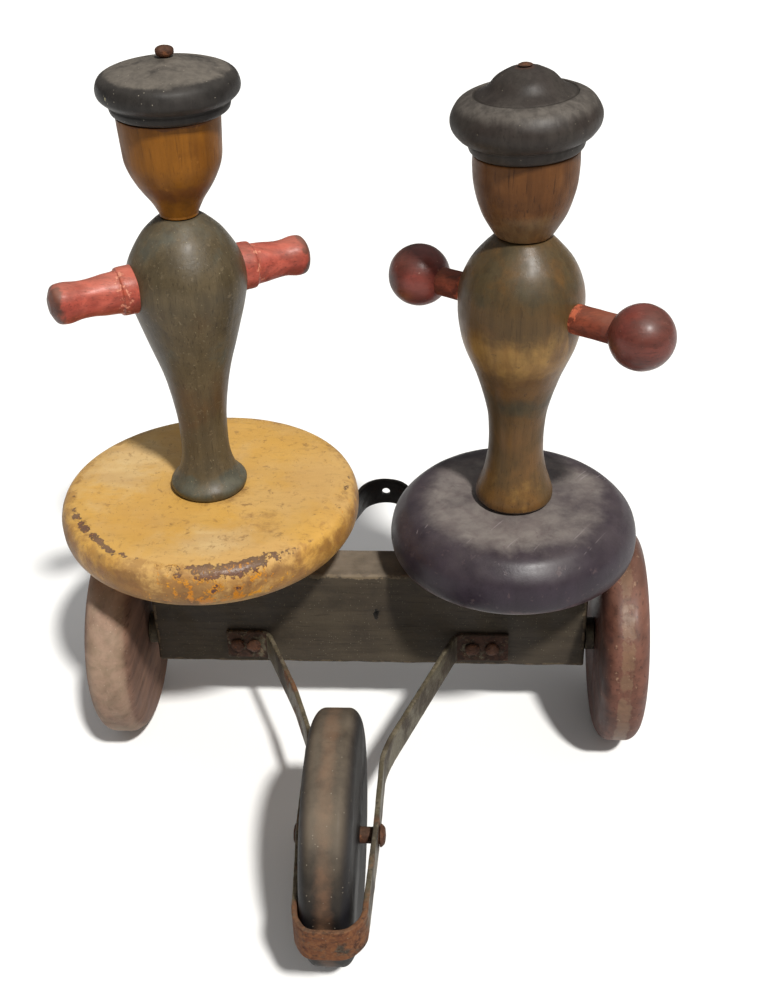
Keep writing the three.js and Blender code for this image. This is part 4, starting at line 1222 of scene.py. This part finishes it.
def strapMesh(name, path, bar, zones, seed):
    path = evenly(path, 1.4)
    section = strapSection(bar["thickness"], bar["width"], bar["corner"])
    count = len(section)
    points, faces = [], []
    values = {key: [] for key in zones}
    values["edge"] = []
    drift = Vector((seed * 3.7, seed, seed * 1.9))
    for i, here in enumerate(path):
        before, after = Vector(path[max(i - 1, 0)]), Vector(path[min(i + 1, len(path) - 1)])
        here = Vector(here)
        into, away = here - before, after - here
        into = into.normalized() if into.length > 1e-9 else away.normalized()
        away = away.normalized() if away.length > 1e-9 else into
        along = (into + away).normalized()
        stretch = 1 / max(0.5, along.dot(into))
        side = Vector((-along.y, along.x))
        for u, v in section:
            flat = here + side * (u * stretch)
            point = Vector((flat.x, flat.y, bar["height"] + v))
            rough = noise.noise(point * 0.4 + drift) * bar["dents"]
            rough += noise.noise(point * 1.1 + drift) * bar["dents"] * 0.5
            inward = 1 - (bar["dents"] + rough) / (bar["thickness"] / 2) * 0.5
            flat = here + side * (u * stretch * inward)
            near = Vector((here.x * 0.12, here.y * 0.12, seed + (v > 0) * 5))
            tall = v * (1 - 0.02 - 0.02 * noise.noise(near))
            points.append(spot(flat.x, flat.y, bar["height"] + tall))
            values["edge"].append(1.0 if abs(v) > bar["width"] / 2 - bar["corner"] * 1.2 else 0.0)
            for key, rule in zones.items():
                values[key].append(rule(here.x, here.y, v))
    for i in range(len(path) - 1):
        for k in range(count):
            a, b = i * count + k, i * count + (k + 1) % count
            faces.append((a, b, b + count, a + count))
    faces.append(tuple(range(count)))
    faces.append(tuple(range((len(path) - 1) * count, len(path) * count)))
    mesh = bpy.data.meshes.new(name)
    mesh.from_pydata(points, [], faces)
    for key, numbers in values.items():
        writeZone(mesh, key, numbers)
    tidyMesh(mesh)
    return mesh


fork = {
    "bar": {"thickness": 2, "width": 14.2, "corner": 0.55, "height": 45.5, "dents": 0.14},
    "bend": 4,
    "tab": -10.8,
    "look": {
        "paint": (105, 97, 77), "second": (72, 62, 52), "mottleScale": 90.0, "grain": 0.35,
        "grainScale": 500.0, "along": (1, 1, 1), "pores": 0.4, "dust": (130, 122, 104), "dustAmount": 0.2,
        "rough": (0.42, 0.62), "metal": 0.35, "bump": 0.6, "marks": 0.0, "specks": 0.05,
        "speckTone": (150, 140, 118),
        "layers": [
            {"zone": "edge", "scale": 240, "amount": 0.12, "reach": 0.34, "soft": 0.05, "cover": 0.6,
             "tone": (132, 122, 102), "lift": 0.2},
            {"zone": "rusty", "scale": 120, "amount": 0.12, "reach": 0.45, "soft": 0.08, "cover": 0.92,
             "tone": (128, 82, 50), "dark": (98, 58, 38), "rough": 0.78, "lift": 0.6},
            {"zone": "rusty", "scale": 320, "amount": 0.02, "reach": 0.4, "soft": 0.04, "cover": 0.7,
             "tone": (66, 42, 32), "rough": 0.85, "lift": -0.9},
            {"zone": "crusty", "scale": 170, "amount": 0.1, "reach": 0.47, "soft": 0.05, "cover": 0.9,
             "tone": (78, 52, 42), "dark": (52, 36, 30), "rough": 0.85, "lift": -0.8},
            {"zone": "crusty", "scale": 240, "amount": 0.0, "reach": 0.38, "soft": 0.03, "cover": 0.8,
             "tone": (122, 106, 84), "rough": 0.8, "lift": 1.0},
        ],
    },
}


def forkRusty(x, y, v):
    nose = 1 - ramp(y, -160, -140)
    axle = bump01(y, -117.5, 9)
    leg = (1 - ramp(y, -125, -100)) * 0.62 if x > 0 else (1 - ramp(y, -140, -120)) * 0.5
    leftLeg = 0.8 * bump01(y, -45, 24) if x < 0 else 0.0
    return min(1.0, max(nose, axle * 0.8, leg, leftLeg))


def forkCrusty(x, y, v):
    return 1.0 if y > -12.2 else 0.0


agedSteel = makeFinish("agedSteel", fork["look"])
tab = fork["tab"]
forkCorners = [(-61, tab), (-43, tab), (-27.4, -47), (-19, -72), (-18.4, -118), (-15.6, -160), (-11.5, -166),
               (2.4, -166), (7.8, -160), (9.4, -118), (9.8, -84), (12.2, -75), (37, tab), (59.5, tab)]
forkMesh = strapMesh("forkMesh", bentPath(forkCorners, fork["bend"], 7), fork["bar"],
                     {"rusty": forkRusty, "crusty": forkCrusty}, 3)
standFor(newPiece("frontForkStrap", forkMesh, agedSteel, 50), "front_fork")

bracket = {
    "bar": {"thickness": 2, "width": 13.5, "corner": 0.55, "height": 58, "dents": 0.1},
    "loopX": 2.4, "loopY": 80.2, "loopRadius": 12, "splay": 20, "tab": 10.8, "leftEnd": -52, "rightEnd": 56,
    "eye": 2.0,
    "look": {
        "paint": (34, 31, 29), "second": (44, 40, 36), "mottleScale": 80.0, "grain": 0.3,
        "grainScale": 500.0, "along": (1, 1, 1), "pores": 0.4, "dust": (90, 84, 74), "dustAmount": 0.2,
        "rough": (0.42, 0.6), "metal": 0.4, "bump": 0.5, "marks": 0.0,
        "layers": [
            {"zone": "edge", "scale": 240, "amount": 0.06, "reach": 0.32, "soft": 0.05, "cover": 0.5,
             "tone": (84, 76, 66), "lift": 0.2},
            {"scale": 180, "amount": 0.38, "soft": 0.05, "cover": 0.7, "tone": (70, 46, 34), "rough": 0.8,
             "lift": 0.3},
        ],
    },
}


def bracketPath(b):
    lean = math.radians(b["splay"])
    arc = []
    for k in range(25):
        angle = math.pi - lean + (math.pi / 2 - math.pi + lean) * k / 24
        arc.append((b["loopRadius"] * math.cos(angle), b["loopRadius"] * math.sin(angle)))
    footX = arc[0][0] - (b["loopY"] + arc[0][1] - b["tab"]) * math.tan(lean)
    left = [(footX, b["tab"] - b["loopY"]), *arc[:-1], (-0.3, b["loopRadius"])]
    right = [(-x, y) for x, y in reversed(left)]
    loop = [(x + b["loopX"], y + b["loopY"]) for x, y in left + right]
    return [(b["leftEnd"], b["tab"]), *loop, (b["rightEnd"], b["tab"])]


def cutEye(piece, b):
    hole = bmesh.new()
    place = Matrix.Translation(spot(b["loopX"], b["loopY"] + b["loopRadius"], b["bar"]["height"]))
    bmesh.ops.create_cone(hole, cap_ends=True, segments=40, radius1=b["eye"] * mm, radius2=b["eye"] * mm,
                          depth=8 * mm,
                          matrix=place @ Matrix.Rotation(math.radians(90), 4, "X"))
    drillMesh = bpy.data.meshes.new("drill")
    hole.to_mesh(drillMesh)
    hole.free()
    drill = bpy.data.objects.new("drill", drillMesh)
    bpy.context.scene.collection.objects.link(drill)
    cutter = piece.modifiers.new("eye", "BOOLEAN")
    cutter.object, cutter.operation, cutter.solver = drill, "DIFFERENCE", "EXACT"
    bpy.context.view_layer.update()
    shaped = bpy.data.meshes.new_from_object(piece.evaluated_get(bpy.context.evaluated_depsgraph_get()))
    piece.modifiers.clear()
    piece.data = shaped
    bpy.data.objects.remove(drill)


blackSteel = makeFinish("blackSteel", bracket["look"])
bracketMesh = strapMesh("bracketMesh", bentPath(bracketPath(bracket), 3, 6), bracket["bar"], {}, 8)
bracketPiece = newPiece("rearBracketStrap", bracketMesh, blackSteel, 50)
cutEye(bracketPiece, bracket)
standFor(bracketPiece, "rear_bracket")
print("straps made")

# nails, axle and hidden hardware
rustLook = {
    "paint": (96, 62, 44), "second": (74, 50, 40), "mottleScale": 200.0, "grain": 0.4, "grainScale": 700.0,
    "along": (1, 1, 1), "pores": 0.5, "dust": (140, 116, 92), "dustAmount": 0.12, "rough": (0.6, 0.85),
    "metal": 0.25, "bump": 0.7, "marks": 0.0,
    "layers": [
        {"scale": 300, "amount": 0.4, "soft": 0.05, "cover": 0.7, "tone": (132, 82, 52), "lift": 0.5},
        {"scale": 500, "amount": 0.3, "soft": 0.04, "cover": 0.8, "tone": (48, 34, 28), "lift": -0.8},
    ],
}
bareLook = {
    "paint": (186, 150, 106), "second": (168, 132, 92), "mottleScale": 60.0, "grain": 0.4,
    "grainScale": 300.0, "dust": (150, 140, 120), "dustAmount": 0.2, "rough": (0.7, 0.85), "bump": 0.4,
    "layers": [{"scale": 120, "amount": 0.3, "soft": 0.1, "cover": 0.5, "tone": (120, 92, 62)}],
}
rustySteel = makeFinish("rustySteel", rustLook)
bareWood = makeFinish("bareWood", bareLook)

nails = {"shank": 1.3, "depth": 9, "head": 3.15, "height": 1.75, "out": 12.1, "lumps": 0.68,
         "lumpsRear": 0.12}


def nailOutline(n):
    shank, depth, head, height = n["shank"], n["depth"], n["head"], n["height"]
    dome = [(head, 0.05), (head, height * 0.3), (head * 0.86, height * 0.66), (head * 0.5, height * 0.93)]
    shaft = [(0, -depth), (shank * 0.4, -depth), (shank, -depth + 2), (shank, 0.05)]
    return softCorners([*shaft, *dome, (0, height)], 0.3)


def nailsMade(prefix, places, facing, height, finish, lumps):
    for i, x in enumerate(places):
        turned = Matrix.Rotation(math.radians(90 * facing), 4, "X")
        where = Matrix.Translation(spot(x, -facing * nails["out"], height)) @ turned
        turn(f"{prefix}_{i + 1}", nailOutline(nails), finish, where, sides=48, wobble=lumps, step=0.35,
             seed=11 + 5 * i)


nailsMade("fork_tack", [-56.5, -49.5, 44.2, 52.6], 1, fork["bar"]["height"], rustySteel, nails["lumps"])
nailsMade("bracket_tack", [-48, -41.5, 45.5, 52], -1, bracket["bar"]["height"], blackSteel,
          nails["lumpsRear"])

frontAxle = {"radius": 3, "left": -14.1, "right": 16.3, "leftHead": (3.65, 0.95), "rightHead": (4.15, 2.15)}


def axleMade(a):
    left, right, radius = a["left"], a["right"], a["radius"]
    (wideL, tallL), (wideR, tallR) = a["leftHead"], a["rightHead"]
    start = [(0, left - tallL), (wideL * 0.7, left - tallL * 0.85), (wideL, left - tallL * 0.3),
             (wideL, left)]
    end = [(wideR, right), (wideR, right + tallR * 0.3), (wideR * 0.7, right + tallR * 0.85),
           (0, right + tallR)]
    outline = [*start, (radius, left), (radius, right), *end]
    turn("front_axle", softCorners(outline, 0.5), rustySteel,
         lying(frontWheel["x"], frontWheel["y"], frontWheel["height"]), sides=64, wobble=0.25, step=0.6)


axleMade(frontAxle)

rearAxle = {"radius": 2.8, "head": 5.55, "headHeight": 2.95, "washer": 7, "washerHeight": 1.2, "bore": 3.1,
            "screwDepth": 28, "boardEnd": 92.25, "gap": 0.3, "hub": 3.6}
spindles = {"radius": 3, "bottom": 51.5, "top": 127.5, "spacer": 7, "spacerHeight": 7.4, "washer": 10,
            "washerHeight": 1.6, "bore": 3.3, "gap": 0.3}


def ring(node, radius, bore, low, high, finish, where, wobble=0.05):
    outline = softCorners([(bore, low), (radius, low), (radius, high), (bore, high)], 0.25)
    turn(node, outline, finish, where, bore=bore, sides=72, wobble=wobble, step=0.8)


def rearAxleMade(side, prefix, a):
    gap, end = a["gap"], a["boardEnd"]
    outer = rearWheels["offset"] + wheelShape["rear"]["thickness"] / 2
    face = outer + a["washerHeight"] + 2 * gap
    aim = Matrix.Rotation(math.radians(90 * side), 4, "Y")
    where = Matrix.Translation(spot(0, 0, rearWheels["height"])) @ aim
    ring(prefix + "_inner_washer", a["washer"], a["bore"], end + gap, end + gap + a["hub"], agedSteel, where)
    ring(prefix + "_outer_washer", a["washer"], a["bore"], outer + gap, outer + gap + a["washerHeight"],
         agedSteel, where)
    low = end - a["screwDepth"]
    shank = [(0, low), (0.6, low), (a["radius"] * 0.8, low + 5), (a["radius"], low + 9), (a["radius"], face)]
    head = [(a["head"], face), (a["head"], face + 0.7), (a["head"] * 0.72, face + 2.3),
            (a["head"] * 0.35, face + 2.85)]
    outline = softCorners([*shank, *head, (0, face + a["headHeight"])], 0.4)
    turn(prefix + "_axle_screw", outline, rustySteel, where, sides=72, wobble=0.12, step=0.6)


def spindleMade(prefix, x, s):
    where = upright(x)
    low = board["top"] + s["gap"]
    radius = s["radius"]
    foot = [(0, s["bottom"]), (radius - 0.7, s["bottom"]), (radius, s["bottom"] + 1.5)]
    outline = [*foot, (radius, s["top"] - 1), (radius - 0.6, s["top"]), (0, s["top"])]
    turn(prefix + "_spindle", softCorners(outline, 0.3), agedSteel, where, sides=48, wobble=0.03)
    ring(prefix + "_spacer", s["spacer"], s["bore"], low, low + s["spacerHeight"], bareWood, where, 0.15)
    top = low + s["spacerHeight"] + s["gap"]
    ring(prefix + "_thrust_washer", s["washer"], s["bore"], top, top + s["washerHeight"], agedSteel, where)


rearAxleMade(-1, "left", rearAxle)
rearAxleMade(1, "right", rearAxle)
spindleMade("left", leftFigure["x"], spindles)
spindleMade("right", rightFigure["x"], spindles)

hatNails = {"shank": 1.3, "reach": 26, "leftFace": 291, "rightFace": 287.2, "dowel": 3.5, "dowelReach": 12,
            "leftNeck": 235.15, "rightNeck": 227.55}


def hatNailsMade(n):
    low, face = n["leftFace"] - n["reach"], n["leftFace"]
    knob = [(2.1, face + 0.02), (2.9, face + 0.6), (3.15, face + 1.6), (2.95, face + 2.4),
            (2.1, face + 3.1), (0.9, face + 3.45)]
    outline = [(0, low), (0.4, low), (n["shank"], low + 3), (n["shank"], face), *smoothLine(knob, 4),
               (0, face + 3.55)]
    where = upright(leftFigure["x"] + leftFigure["capShift"])
    turn("left_cap_nail", outline, rustySteel, where, sides=64, wobble=0.3, step=0.3)
    low, face = n["rightFace"] - n["reach"], n["rightFace"]
    flat = [(2.5, face + 0.02), (2.5, face + 0.2), (1.7, face + 0.55), (0.6, face + 0.68)]
    outline = [(0, low), (0.4, low), (n["shank"], low + 3), (n["shank"], face), *flat, (0, face + 0.69)]
    where = leaning(rightFigure["x"], rightFigure["seat"], rightFigure["lean"])
    turn("right_hat_nail", outline, rustySteel, where, sides=48, wobble=0.12, step=0.3)
    for prefix, x, middle in (("left", leftFigure["x"], n["leftNeck"]),
                              ("right", rightFigure["x"], n["rightNeck"])):
        reach, radius = n["dowelReach"], n["dowel"]
        outline = softCorners([(0, middle - reach), (radius, middle - reach), (radius, middle + reach),
                               (0, middle + reach)], 0.5)
        turn(prefix + "_neck_dowel", outline, bareWood, upright(x), sides=48, wobble=0.05)


hatNailsMade(hatNails)
print("nails, axles and spindles made")

bpy.context.scene.view_settings.view_transform = "Standard"
